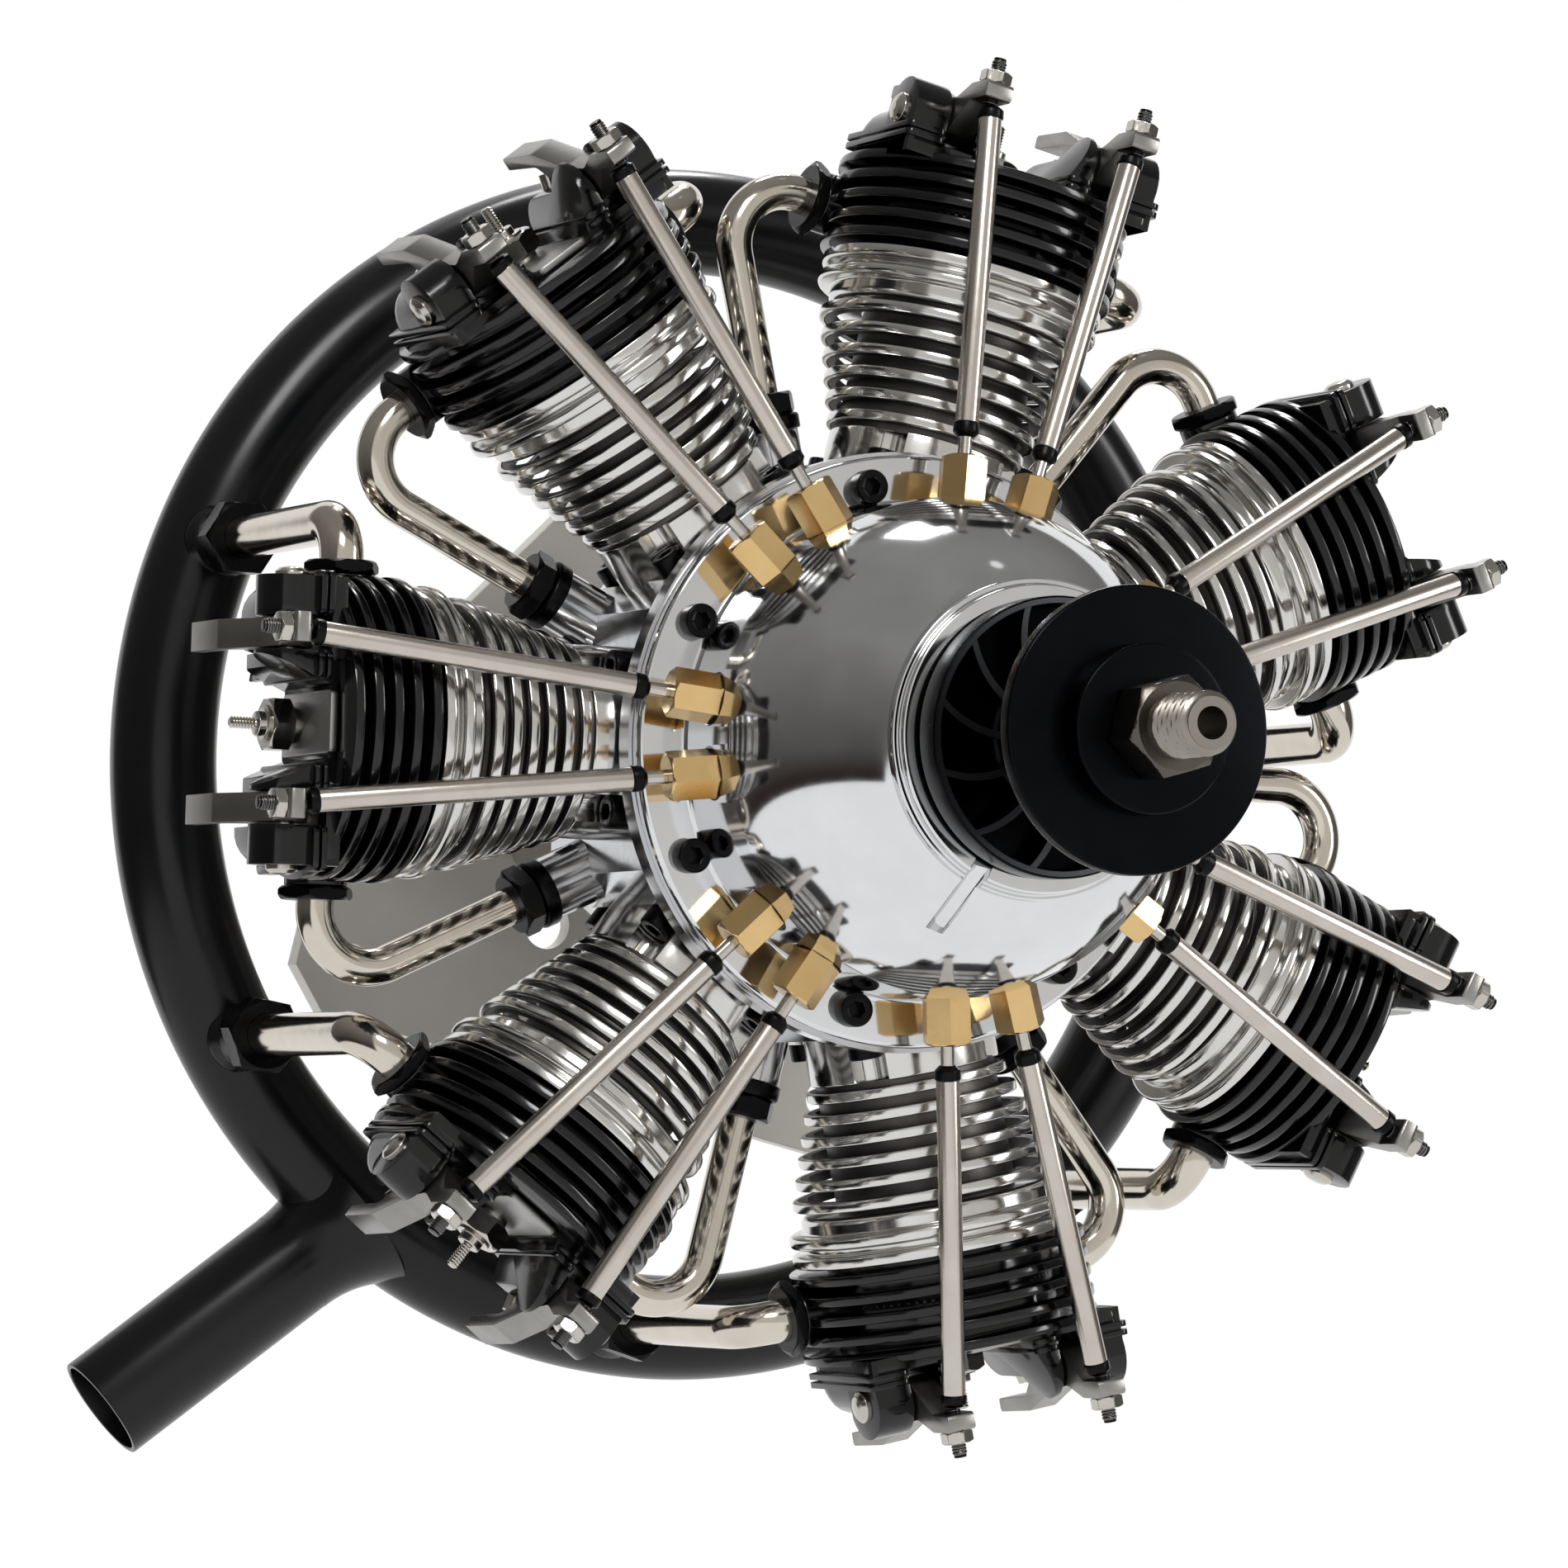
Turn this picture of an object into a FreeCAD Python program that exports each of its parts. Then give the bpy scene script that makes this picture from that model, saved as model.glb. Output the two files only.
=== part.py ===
import FreeCAD, Part
import math
import os
import re

import Sketcher

# Seven-cylinder four-stroke radial engine for a large model aircraft.
# Frame: the crank axis is Y, the propeller side is -Y, +Z is up and runs along the axis of cylinder 1.
# The origin is the middle of the mount plate's rear face. Stations are distances ahead of that face.
# Cylinder pieces are made for cylinder 1 and turned into place. Numbers rise counter-clockwise from the front.

V = FreeCAD.Vector
Rotation = FreeCAD.Rotation
Placement = FreeCAD.Placement

CYLINDERS = 7
INTAKE = -1  # side of the intake rod and rocker on cylinder 1, along X
EXHAUST = 1
BARREL_FINS = 6
HEAD_FINS = 5
BOX_FINS = 2
CAM_LOBES = 3

SIZES = {
    # mount plate
    "plate_thick": 4,
    "plate_half_width": 54.5,
    "plate_half_height": 54.5,
    "plate_corner": 6.5,
    "plate_shoulder": -4,
    "plate_top_half": 17.7,
    "mount_hole_radius": 3,
    "mount_low_half_spacing": 45,
    "mount_low_drop": 45,
    "mount_top_half_spacing": 12,
    "mount_top_rise": 45,
    "access_hole_radius": 4.1,
    "access_circle_radius": 32,
    "access_turn": 22.5,
    # standoffs between the plate and the induction housing
    "standoff_radius": 4,
    "standoff_offset": 18,
    # crankcase
    "cylinder_plane": 83,
    "case_apothem": 43,
    "case_rear": 62,
    "case_front": 99.5,
    "case_flange_radius": 48,
    "case_flange_thick": 3.7,
    "case_cavity_radius": 34,
    "case_rear_wall": 5,
    "manifold_plane": 73,
    "intake_boss_radius": 5.2,
    "intake_boss_reach": 54,
    "intake_boss_root": 36,
    # induction housing behind the crankcase
    "housing_radius": 38,
    "housing_depth": 12,
    "housing_wall": 3,
    # front case
    "cover_flange_radius": 47.3,
    "cover_flange_thick": 2.8,
    "drum_radius": 39.5,
    "drum_front": 122.5,
    "dome_bulge_radius": 44,
    "nose_radius": 25,
    "nose_rear": 149.5,
    "nose_step_radius": 24,
    "nose_step": 151.3,
    "nose_front": 153,
    "cover_wall": 3,
    "groove_radius": 1.6,
    "groove_offset": 5.3,
    "groove_top_drop": 22.4,
    "groove_top_station": 153.4,
    "groove_foot_drop": 32.3,
    "groove_foot_station": 141.7,
    "seal_gap": 0.6,
    # crankshaft and bearings
    "journal_radius": 6,
    "bearing_radius": 10.5,
    "bearing_width": 5,
    "front_bearing": 150,
    "throw": 11,
    "crankpin_radius": 5,
    "web_radius": 17,
    "web_thick": 5.5,
    "web_gap": 18,
    "counterweight_radius": 30,
    "counterweight_angle": 130,
    "shaft_radius": 5,
    "shaft_front": 208.7,
    "thread_radius": 4.5,
    "thread_start": 198.5,
    "shaft_hole_radius": 2.5,
    "shaft_hole_depth": 12,
    # pistons
    "bore_radius": 12,
    "rod_length": 59,
    "crown_above_pin": 9,
    "piston_length": 18,
    "piston_crown": 3,
    "piston_wall": 1.8,
    # cylinder barrel, radii from the crank axis upwards
    "spigot_radius": 13.4,
    "spigot_foot": 35,
    "foot_width": 29,
    "foot_depth": 30,
    "foot_thick": 1.5,
    "foot_radius": 15.5,
    "fin_first": 52.4,
    "fin_pitch": 3.4,
    "fin_thick": 1.7,
    "fin_radius": 16.4,
    "fin_growth": 1.05,
    "fin_core_radius": 14.5,
    "collar_radius": 20.8,
    "collar_foot": 72,
    "band_radius": 23.2,
    "band_thick": 2,
    "band_foot": 74.9,
    "head_seat": 80,
    # cylinder head
    "chamber_height": 4,
    "chamber_radius": 9.5,
    "head_core_radius": 18,
    "head_fin_first": 81,
    "head_fin_pitch": 3.25,
    "head_fin_thick": 1.6,
    "head_fin_radius": 24.2,
    "head_top": 96.6,
    "plug_hole_radius": 3.05,
    "box_inner": 8.6,
    "box_outer": 22.5,
    "box_front": 99.5,
    "box_rear": 77,
    "box_rise": 7.9,
    "box_floor_rise": 0.4,
    "box_root": 2,
    "slot_margin": 5,
    "box_fin_pitch": 1.4,
    "box_fin_thick": 0.9,
    "box_fin_reach": 0.9,
    "ear_radius": 5.5,
    "port_boss_radius": 5,
    "port_face": 24.6,
    "port_boss_root": 10.8,
    # valve gear
    "rocker_spread": 13.6,
    "rocker_width": 4.6,
    "rocker_side_gap": 0.4,
    "pivot_rise": 5.4,
    "pivot_station": 94,
    "pivot_radius": 1.5,
    "pin_head_radius": 2.6,
    "pin_head_thick": 1.5,
    "running_gap": 0.05,
    "rod_foot_height": 51.9,
    "rod_foot_spread": 7.3,
    "rod_foot_station": 113.6,
    "rod_top_drop": 0.35,
    "rod_top_spread": 12.9,
    "rod_top_station": 107.5,
    "rod_radius": 1.9,
    "rod_cap_radius": 2.1,
    "rod_cap_length": 1.9,
    "tappet_radius": 1.1,
    "tappet_end_length": 2.4,
    "tappet_inner": 28.3,
    "guide_seat": 38,
    "guide_top": 46.2,
    "guide_half_flats": 3.5,
    "guide_shank_radius": 2.5,
    "guide_shank_length": 4.5,
    "guide_spot_radius": 4.3,
    "adjuster_radius": 1.25,
    "adjuster_rise": 1.9,
    "adjuster_length": 7.7,
    "locknut_half_flats": 2.25,
    "locknut_thick": 2,
    "valve_stem_radius": 1.5,
    "valve_foot_spread": 6,
    "valve_station": 80,
    "valve_rise": 3.4,
    "valve_seat_gap": 0.5,
    # rocker arm in side view, from its pivot, its adjuster and the valve's top
    "pad_front": 2.8,
    "pad_rear": 2.6,
    "pad_foot": 0.6,
    "pad_top": 3.4,
    "pad_shoulder": 3.5,
    "relief_radius": 5.1,
    "relief_front": 4.2,
    "relief_front_drop": 2.4,
    "relief_rear": 4,
    "relief_rear_drop": 2,
    "tail_foot": 3,
    "tail_foot_rise": 2.2,
    "tail_reach": 7,
    "tail_under": 2.9,
    "tail_over": 5.1,
    "tail_root": 4,
    "tail_root_rise": 4.6,
    "hump_rear": 1,
    "hump_rear_rise": 4.4,
    "hump_front": 5,
    "hump_front_rise": 3.4,
    # cam ring
    "cam_station": 116.5,
    "cam_width": 8,
    "cam_base_radius": 26.2,
    "cam_lobe_radius": 6,
    "cam_lift": 1.5,
    # glow plug
    "plug_radius": 3,
    "plug_foot": 87.8,
    "plug_hex_foot": 97.6,
    "plug_hex_half_flats": 4,
    "plug_hex_thick": 3.7,
    "plug_neck_radius": 2,
    "plug_neck_top": 104,
    "plug_tip_radius": 1,
    "plug_tip_top": 107.3,
    # intake pipe
    "intake_radius": 3,
    "intake_bend_radius": 9,
    "intake_port_height": 88,
    "intake_collar_radius": 5.7,
    "intake_collar_length": 2.6,
    "intake_nut_half_flats": 5,
    "intake_nut_length": 3.6,
    # exhaust
    "exhaust_port_rise": 7.35,
    "ring_radius": 93.5,
    "ring_tube_radius": 8.75,
    "ring_station": 17,
    "ring_boss_turn": 20.9,
    "ring_boss_radius": 5.2,
    "ring_boss_front": 30,
    "exhaust_port_station": 78,
    "exhaust_radius": 3.5,
    "exhaust_bend_radius": 6.5,
    "exhaust_nut_half_flats": 5.7,
    "exhaust_nut_length": 5,
    "port_nut_half_flats": 5.5,
    "port_nut_length": 2.2,
    "stub_radius": 9,
    "stub_wall": 0.9,
    "stub_length": 55,
    "stub_turn": 156.3,
    "stub_lean": 15.1,
    "stub_rake": 5.1,
    # screws
    "screw_head_radius": 2.75,
    "screw_head_height": 3,
    "screw_shank_radius": 1.5,
    "screw_shank_length": 5,
    "screw_hole_spare": 0.3,
    "screw_socket_half_flats": 1.25,
    "screw_socket_depth": 1.6,
    "foot_screw_spread": 11.5,
    "foot_screw_offset": 11,
    "flange_screw_circle": 42.6,
    "scallop_radius": 3.1,
    # prop driver, washer and nut
    "driver_rear": 154,
    "driver_floor": 156.5,
    "driver_rim_front": 159.25,
    "driver_rim_radius": 21.8,
    "driver_rim_wall": 1.4,
    "driver_hub_radius": 9.5,
    "rib_root_radius": 9,
    "driver_disc_radius": 22,
    "driver_disc_rear": 182.2,
    "driver_front": 185,
    "rib_count": 12,
    "rib_thick": 1.1,
    "rib_twist": 15,
    "rib_curve_radius": 16,
    "washer_radius": 13,
    "washer_thick": 5,
    "nut_half_flats": 7,
    "nut_thick": 8,
    "nut_crown_radius": 8.4,
    "nut_crown_height": 1.6,
    "nut_face_radius": 6.5,
    # carburettor
    "carb_width": 26,
    "carb_depth": 24,
    "carb_height": 30,
    "carb_neck_radius": 10,
    "carb_neck_length": 4,
    "throat_radius": 5.5,
    "barrel_radius": 8,
    "throttle_end": 16.5,
    "throttle_arm_thick": 2,
    "throttle_arm_width": 7,
    "throttle_arm_length": 15,
    "needle_radius": 2.5,
    "needle_length": 7,
    "needle_knob_radius": 3.8,
    "needle_knob_length": 2.8,
}

doc = FreeCAD.newDocument("radial_engine")
sheet = doc.addObject("Spreadsheet::Sheet", "sizes")
for row, (alias, amount) in enumerate(SIZES.items(), start=1):
    sheet.set(f"A{row}", alias)
    sheet.set(f"B{row}", str(amount))
    sheet.setAlias(f"B{row}", alias)
doc.recompute()


def size(alias):
    """The number that the sheet holds under this alias."""
    return float(sheet.get(alias))


def bound(text):
    """An expression with the sheet's name put before each alias."""
    return re.sub(r"[a-z_]+", lambda word: "sizes." + word.group() if word.group() in SIZES else word.group(), text)


def bind(item, **expressions):
    """Binds properties of an object to expressions of the sheet."""
    for prop, text in expressions.items():
        item.setExpression(prop, bound(text))


def number(text):
    """The value of an expression of the sheet."""
    return float(sheet.evalExpression(bound(text)))


# Sketches and PartDesign bodies

def origin_plane(body, role):
    return next(item for item in body.Origin.OriginFeatures if item.Role == role)


def new_body(label):
    body = doc.addObject("PartDesign::Body", label)
    body.Label = label
    return body


def new_sketch(body, plane):
    sketch = body.newObject("Sketcher::SketchObject", body.Label + "_sketch")
    sketch.AttachmentSupport = (origin_plane(body, plane), "")
    sketch.MapMode = "FlatFace"
    return sketch


def pin_point(sketch, edge, end, across, up):
    """Holds one end of an edge at expressions measured from the sketch's origin."""
    for kind, text in (("DistanceX", across), ("DistanceY", up)):
        index = sketch.addConstraint(Sketcher.Constraint(kind, -1, 1, edge, end, number(text)))
        sketch.setExpression(f"Constraints[{index}]", bound(text))


def draw_outline(sketch, corners):
    """Draws a closed outline. A corner is (across, up), or (across, up, radius, turn) where an arc leaves it:
    turn is 1 for an arc that runs counter-clockwise and -1 for one that runs clockwise."""
    points = [V(number(corner[0]), number(corner[1]), 0) for corner in corners]
    first = sketch.GeometryCount
    starts = []
    for k, corner in enumerate(corners):
        here = points[k]
        there = points[(k + 1) % len(points)]
        if len(corner) == 2:
            sketch.addGeometry(Part.LineSegment(here, there))
            starts.append(1)
            continue
        radius = number(corner[2])
        turn = corner[3]
        chord = there - here
        normal = V(-chord.y, chord.x, 0).normalize()
        centre = (here + there) * 0.5 + normal * (turn * math.sqrt(radius**2 - (chord.Length / 2) ** 2))
        from_end, to_end = (here, there) if turn > 0 else (there, here)
        angles = [math.atan2(end.y - centre.y, end.x - centre.x) for end in (from_end, to_end)]
        sketch.addGeometry(Part.ArcOfCircle(Part.Circle(centre, V(0, 0, 1), radius), angles[0], angles[1]))
        starts.append(1 if turn > 0 else 2)
    for k, corner in enumerate(corners):
        after = (k + 1) % len(corners)
        end = 2 if starts[k] == 1 else 1
        sketch.addConstraint(Sketcher.Constraint("Coincident", first + k, end, first + after, starts[after]))
        pin_point(sketch, first + k, starts[k], corner[0], corner[1])
        if len(corner) > 2:
            index = sketch.addConstraint(Sketcher.Constraint("Radius", first + k, number(corner[2])))
            sketch.setExpression(f"Constraints[{index}]", bound(corner[2]))


def draw_circle(sketch, across, up, radius):
    centre = V(number(across), number(up), 0)
    edge = sketch.addGeometry(Part.Circle(centre, V(0, 0, 1), number(radius)))
    pin_point(sketch, edge, 3, across, up)
    index = sketch.addConstraint(Sketcher.Constraint("Radius", edge, number(radius)))
    sketch.setExpression(f"Constraints[{index}]", bound(radius))


def turned(label, corners, plane="XY_Plane"):
    """A body turned from a half profile about the sketch's upright axis: Y on the XY plane, Z on the XZ plane."""
    body = new_body(label)
    sketch = new_sketch(body, plane)
    draw_outline(sketch, corners)
    revolution = body.newObject("PartDesign::Revolution", label + "_turned")
    revolution.Profile = sketch
    revolution.ReferenceAxis = (sketch, ["V_Axis"])
    revolution.Angle = 360
    return body


def padded(label, plane, corners, length, circles=(), both_ways=False):
    """A body padded from an outline, with round holes given as (across, up, radius)."""
    body = new_body(label)
    sketch = new_sketch(body, plane)
    draw_outline(sketch, corners)
    for circle in circles:
        draw_circle(sketch, *circle)
    pad = body.newObject("PartDesign::Pad", label + "_pad")
    pad.Profile = sketch
    pad.setExpression("Length", bound(length))
    pad.Midplane = both_ways
    return body


# Part primitives and booleans

def primitive(kind, label, place, **expressions):
    item = doc.addObject("Part::" + kind, label)
    item.Label = label
    bind(item, **expressions)
    item.Placement = place
    return item


def cylinder(label, start, direction, radius, height):
    """A round bar that starts at a point and runs along a direction."""
    place = Placement(start, Rotation(V(0, 0, 1), direction))
    return primitive("Cylinder", label, place, Radius=radius, Height=height)


def hexagon(label, start, direction, half_flats, height):
    """A hexagonal bar that starts at a point and runs along a direction."""
    item = doc.addObject("Part::Prism", label)
    item.Label = label
    item.Polygon = 6
    bind(item, Circumradius=f"{half_flats} / cos(30)", Height=height)
    item.Placement = Placement(start, Rotation(V(0, 0, 1), direction))
    return item


def joined(label, *items):
    union = doc.addObject("Part::MultiFuse", label)
    union.Label = label
    union.Shapes = list(items)
    return union


def cut(label, base, tool):
    result = doc.addObject("Part::Cut", label)
    result.Label = label
    result.Base = base
    result.Tool = tool
    return result


def compound(label, *items):
    group = doc.addObject("Part::Compound", label)
    group.Label = label
    group.Links = list(items)
    return group


def cylinder_turn(index):
    """The turn that carries a piece of cylinder 1 to cylinder index + 1."""
    return Placement(V(0, 0, 0), Rotation(V(0, -1, 0), 360 * index / CYLINDERS))


def copy_of(master, label, index):
    copy = doc.addObject("App::Link", label)
    copy.Label = label
    copy.LinkedObject = master
    copy.LinkTransform = True
    copy.Placement = cylinder_turn(index)
    return copy


def on_each_cylinder(label, *masters):
    """One group with a copy of each master on every cylinder."""
    copies = [
        copy_of(master, f"{label}_{master.Label}_{index + 1}", index)
        for master in masters
        for index in range(CYLINDERS)
    ]
    return compound(label, *copies)


# Places on cylinder 1

HALF_PITCH = 180 / CYLINDERS
AXIS = -size("cylinder_plane")
UP = V(0, 0, 1)
AHEAD = V(0, -1, 0)

# Heights that hang on the head's top, as expressions of the sheet
BOX_TOP = "(head_top + box_rise)"
BOX_FLOOR = "(head_top + box_floor_rise)"
PIVOT = "(head_top + pivot_rise)"
ROD_TOP = "(head_top + pivot_rise - rod_top_drop)"
ADJUSTER = "(head_top + pivot_rise + adjuster_rise)"
VALVE_TOP = "(head_top + pivot_rise + valve_rise)"


def mid_angle_direction():
    """The outward direction half-way from cylinder 1 to cylinder 2."""
    turn = math.radians(HALF_PITCH)
    return V(-math.sin(turn), 0, math.cos(turn))


def rod_foot(side):
    return V(side * size("rod_foot_spread"), -size("rod_foot_station"), size("rod_foot_height"))


def rod_direction(side):
    top = V(side * size("rod_top_spread"), -size("rod_top_station"), number(ROD_TOP))
    return (top - rod_foot(side)).normalize()


def on_rod(side, height):
    """The point of a rod's axis at a height above the crank axis."""
    direction = rod_direction(side)
    return rod_foot(side) + direction * ((height - size("rod_foot_height")) / direction.z)


def ring_boss_place():
    """Where the exhaust elbow of cylinder 1 meets the ring, in X and Z."""
    up = size("head_seat") + size("exhaust_port_rise")
    return up * math.tan(math.radians(size("ring_boss_turn"))), up


# Static pieces at the back

def mount_plate():
    right = [
        ("plate_half_width - plate_corner", "-plate_half_height"),
        ("plate_half_width", "-plate_half_height + plate_corner"),
        ("plate_half_width", "plate_shoulder"),
        ("plate_top_half", "plate_half_height"),
    ]
    left = [("-(" + across + ")", up) for across, up in reversed(right)]
    holes = []
    for side in ("", "-"):
        holes.append((side + "mount_low_half_spacing", "-mount_low_drop", "mount_hole_radius"))
        holes.append((side + "mount_top_half_spacing", "mount_top_rise", "mount_hole_radius"))
        for end in ("", "-"):
            across = side + "access_circle_radius * sin(access_turn)"
            up = end + "access_circle_radius * cos(access_turn)"
            holes.append((across, up, "access_hole_radius"))
    return padded("mount_plate", "XZ_Plane", right + left, "plate_thick", holes)


def standoffs():
    bars = []
    offset = size("standoff_offset")
    for across in (-offset, offset):
        for up in (-offset, offset):
            start = V(across, -size("plate_thick"), up)
            length = "case_rear - housing_depth - plate_thick"
            bars.append(cylinder(f"standoff_{len(bars) + 1}", start, AHEAD, "standoff_radius", length))
    return compound("standoffs", *bars)


def induction_housing():
    rear = "-(case_rear - housing_depth)"
    inner_rear = "-(case_rear - housing_depth + housing_wall)"
    return turned(
        "induction_housing",
        [
            ("throat_radius", rear),
            ("housing_radius", rear),
            ("housing_radius", "-case_rear"),
            ("housing_radius - housing_wall", "-case_rear"),
            ("housing_radius - housing_wall", inner_rear),
            ("throat_radius", inner_rear),
        ],
    )


def carb_rear():
    """Station of the carburettor body's rear face."""
    return size("case_rear") - size("housing_depth") - size("carb_neck_length") - size("carb_depth")


def carb_middle():
    return -(carb_rear() + size("carb_depth") / 2)


def carburettor_body():
    corner = V(-size("carb_width") / 2, -(carb_rear() + size("carb_depth")), -size("carb_height") / 2)
    block = primitive(
        "Box",
        "carb_block",
        Placement(corner, Rotation()),
        Length="carb_width",
        Width="carb_depth",
        Height="carb_height",
    )
    neck_start = V(0, -(carb_rear() + size("carb_depth")), 0)
    neck = cylinder("carb_neck", neck_start, AHEAD, "carb_neck_radius", "carb_neck_length")
    throat = cylinder("carb_throat", V(0, 0, 0), AHEAD, "throat_radius", "case_rear")
    seat_start = V(-size("carb_width") / 2 + size("housing_wall"), carb_middle(), 0)
    seat = cylinder("carb_barrel_seat", seat_start, V(1, 0, 0), "barrel_radius", "carb_width")
    return cut("carburettor_body", joined("carb_casting", block, neck), compound("carb_bores", throat, seat))


def throttle_barrel():
    start = V(-size("carb_width") / 2 + size("housing_wall") + size("running_gap"), carb_middle(), 0)
    length = "carb_width / 2 - housing_wall - running_gap + throttle_end"
    drum = cylinder("throttle_drum", start, V(1, 0, 0), "barrel_radius - running_gap", length)
    port = cylinder("throttle_port", V(0, 0, 0), AHEAD, "throat_radius", "case_rear")
    corner = V(size("throttle_end"), carb_middle() - size("throttle_arm_width") / 2, -size("throttle_arm_width") / 2)
    arm = primitive(
        "Box",
        "throttle_arm",
        Placement(corner, Rotation()),
        Length="throttle_arm_thick",
        Width="throttle_arm_width",
        Height="throttle_arm_length",
    )
    return joined("throttle_barrel", cut("throttle_drum_bored", drum, port), arm)


def needle_valve():
    start = V(-size("carb_width") / 2, carb_middle(), 0)
    stem = cylinder("needle_stem", start, V(-1, 0, 0), "needle_radius", "needle_length")
    knob_start = start - V(size("needle_length") - size("needle_knob_length"), 0, 0)
    knob = cylinder("needle_knob", knob_start, V(-1, 0, 0), "needle_knob_radius", "needle_knob_length")
    return joined("needle_valve", stem, knob)


# Crankcase and front case

def crankcase():
    shell = doc.addObject("Part::Prism", "case_shell")
    shell.Polygon = CYLINDERS
    bind(shell, Circumradius=f"case_apothem / cos(180 / {CYLINDERS})", Height="case_front - case_rear")
    corner_turn = Rotation(AHEAD, 90 / CYLINDERS)
    shell.Placement = Placement(V(0, -size("case_rear"), 0), corner_turn * Rotation(V(1, 0, 0), 90))
    flange_start = V(0, -size("case_front"), 0)
    flange = cylinder("case_flange", flange_start, AHEAD, "case_flange_radius", "case_flange_thick")
    outward = mid_angle_direction()
    boss_start = V(0, -size("manifold_plane"), 0) + outward * size("intake_boss_root")
    boss = cylinder("intake_boss", boss_start, outward, "intake_boss_radius", "intake_boss_reach - intake_boss_root")
    casting = joined("case_casting", shell, flange, on_each_cylinder("intake_bosses", boss))

    cavity_start = V(0, -size("case_rear") - size("case_rear_wall"), 0)
    cavity = cylinder("case_cavity", cavity_start, AHEAD, "case_cavity_radius", "case_front - case_rear")
    seat = cylinder("rear_bearing_seat", V(0, 0, 0), AHEAD, "bearing_radius", "cylinder_plane")
    bore = cylinder("case_bore", V(0, AXIS, 0), UP, "spigot_radius + running_gap", "2 * case_apothem")
    places = enumerate(foot_screw_places(), start=1)
    screw_holes = [screw_hole(f"case_screw_hole_{k}", place, UP) for k, place in places]
    front_hole = screw_hole("case_front_screw_hole", flange_screw_place(), AHEAD)
    holes = on_each_cylinder("case_holes", bore, front_hole, *screw_holes)
    return cut("crankcase", casting, compound("case_cuts", cavity, seat, holes))


def front_case():
    rear = "-(case_front + case_flange_thick)"
    face = "-(case_front + case_flange_thick + cover_flange_thick)"
    bearing_rear = "-(front_bearing - bearing_width)"
    shell = turned(
        "cover_shell",
        [
            ("drum_radius - cover_wall", rear),
            ("cover_flange_radius", rear),
            ("cover_flange_radius", face),
            ("drum_radius", face),
            ("drum_radius", "-drum_front", "dome_bulge_radius", -1),
            ("nose_radius", "-nose_rear"),
            ("nose_radius", "-nose_step"),
            ("nose_step_radius", "-nose_step"),
            ("nose_step_radius", "-nose_front"),
            ("journal_radius + seal_gap", "-nose_front"),
            ("journal_radius + seal_gap", "-front_bearing"),
            ("bearing_radius", "-front_bearing"),
            ("bearing_radius", bearing_rear),
            ("nose_radius - cover_wall", bearing_rear),
            ("drum_radius - cover_wall", "-drum_front"),
        ],
    )
    tools = []
    for side, name in ((INTAKE, "intake"), (EXHAUST, "exhaust")):
        along = rod_direction(side)
        seat = on_rod(side, size("guide_seat"))
        tools.append(cylinder(f"guide_spot_{name}", seat, along, "guide_spot_radius", "guide_top - guide_seat"))
        start = on_rod(side, size("guide_seat") - size("guide_shank_length"))
        radius = "guide_shank_radius + running_gap"
        tools.append(cylinder(f"guide_hole_{name}", start, along, radius, "2 * guide_shank_length"))
    tools.append(screw_hole("cover_screw_hole", flange_screw_place(), AHEAD))
    groove_top = V(-size("groove_offset"), -size("groove_top_station"), -size("groove_top_drop"))
    groove_foot = V(-size("groove_offset"), -size("groove_foot_station"), -size("groove_foot_drop"))
    way = groove_foot - groove_top
    groove = cylinder("nose_groove", groove_top, way, "groove_radius", f"{way.Length}")
    return cut("front_case", shell, compound("cover_tools", on_each_cylinder("cover_cuts", *tools), groove))


def main_bearings():
    rings = []
    for name, front in (("front", "front_bearing"), ("rear", "case_rear + case_rear_wall")):
        corners = [
            ("journal_radius", f"-({front})"),
            ("bearing_radius", f"-({front})"),
            ("bearing_radius", f"-({front} - bearing_width)"),
            ("journal_radius", f"-({front} - bearing_width)"),
        ]
        rings.append(turned(f"bearing_{name}", corners))
    return compound("main_bearings", *rings)


# Rotating pieces on the crank axis

def crankshaft():
    rear_web = "cylinder_plane - web_gap / 2"
    front_web = "cylinder_plane + web_gap / 2"
    journal = "journal_radius - running_gap"
    shaft = turned(
        "crank_front_shaft",
        [
            ("0", f"-({front_web})"),
            (journal, f"-({front_web})"),
            (journal, "-nose_front"),
            ("shaft_radius", "-nose_front"),
            ("shaft_radius", "-thread_start"),
            ("thread_radius", "-thread_start"),
            ("thread_radius", "-shaft_front"),
            ("shaft_hole_radius", "-shaft_front"),
            ("shaft_hole_radius", "-(shaft_front - shaft_hole_depth)"),
            ("0", "-(shaft_front - shaft_hole_depth)"),
        ],
    )
    tail_start = V(0, -size("case_rear"), 0)
    tail = cylinder("crank_tail", tail_start, AHEAD, journal, f"{rear_web} - case_rear")
    pin_start = V(0, -number(rear_web), size("throw"))
    pin = cylinder("crankpin", pin_start, AHEAD, "crankpin_radius", "web_gap")
    webs = []
    weight_turn = Rotation(AHEAD, 180 - size("counterweight_angle") / 2 - 270) * Rotation(UP, AHEAD)
    for name, start in (("rear", number(rear_web) - size("web_thick")), ("front", number(front_web))):
        webs.append(cylinder(f"web_{name}", V(0, -start, 0), AHEAD, "web_radius", "web_thick"))
        weight = primitive(
            "Cylinder",
            f"counterweight_{name}",
            Placement(V(0, -start, 0), weight_turn),
            Radius="counterweight_radius",
            Height="web_thick",
            Angle="counterweight_angle",
        )
        webs.append(weight)
    return joined("crankshaft", shaft, tail, pin, *webs)


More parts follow.
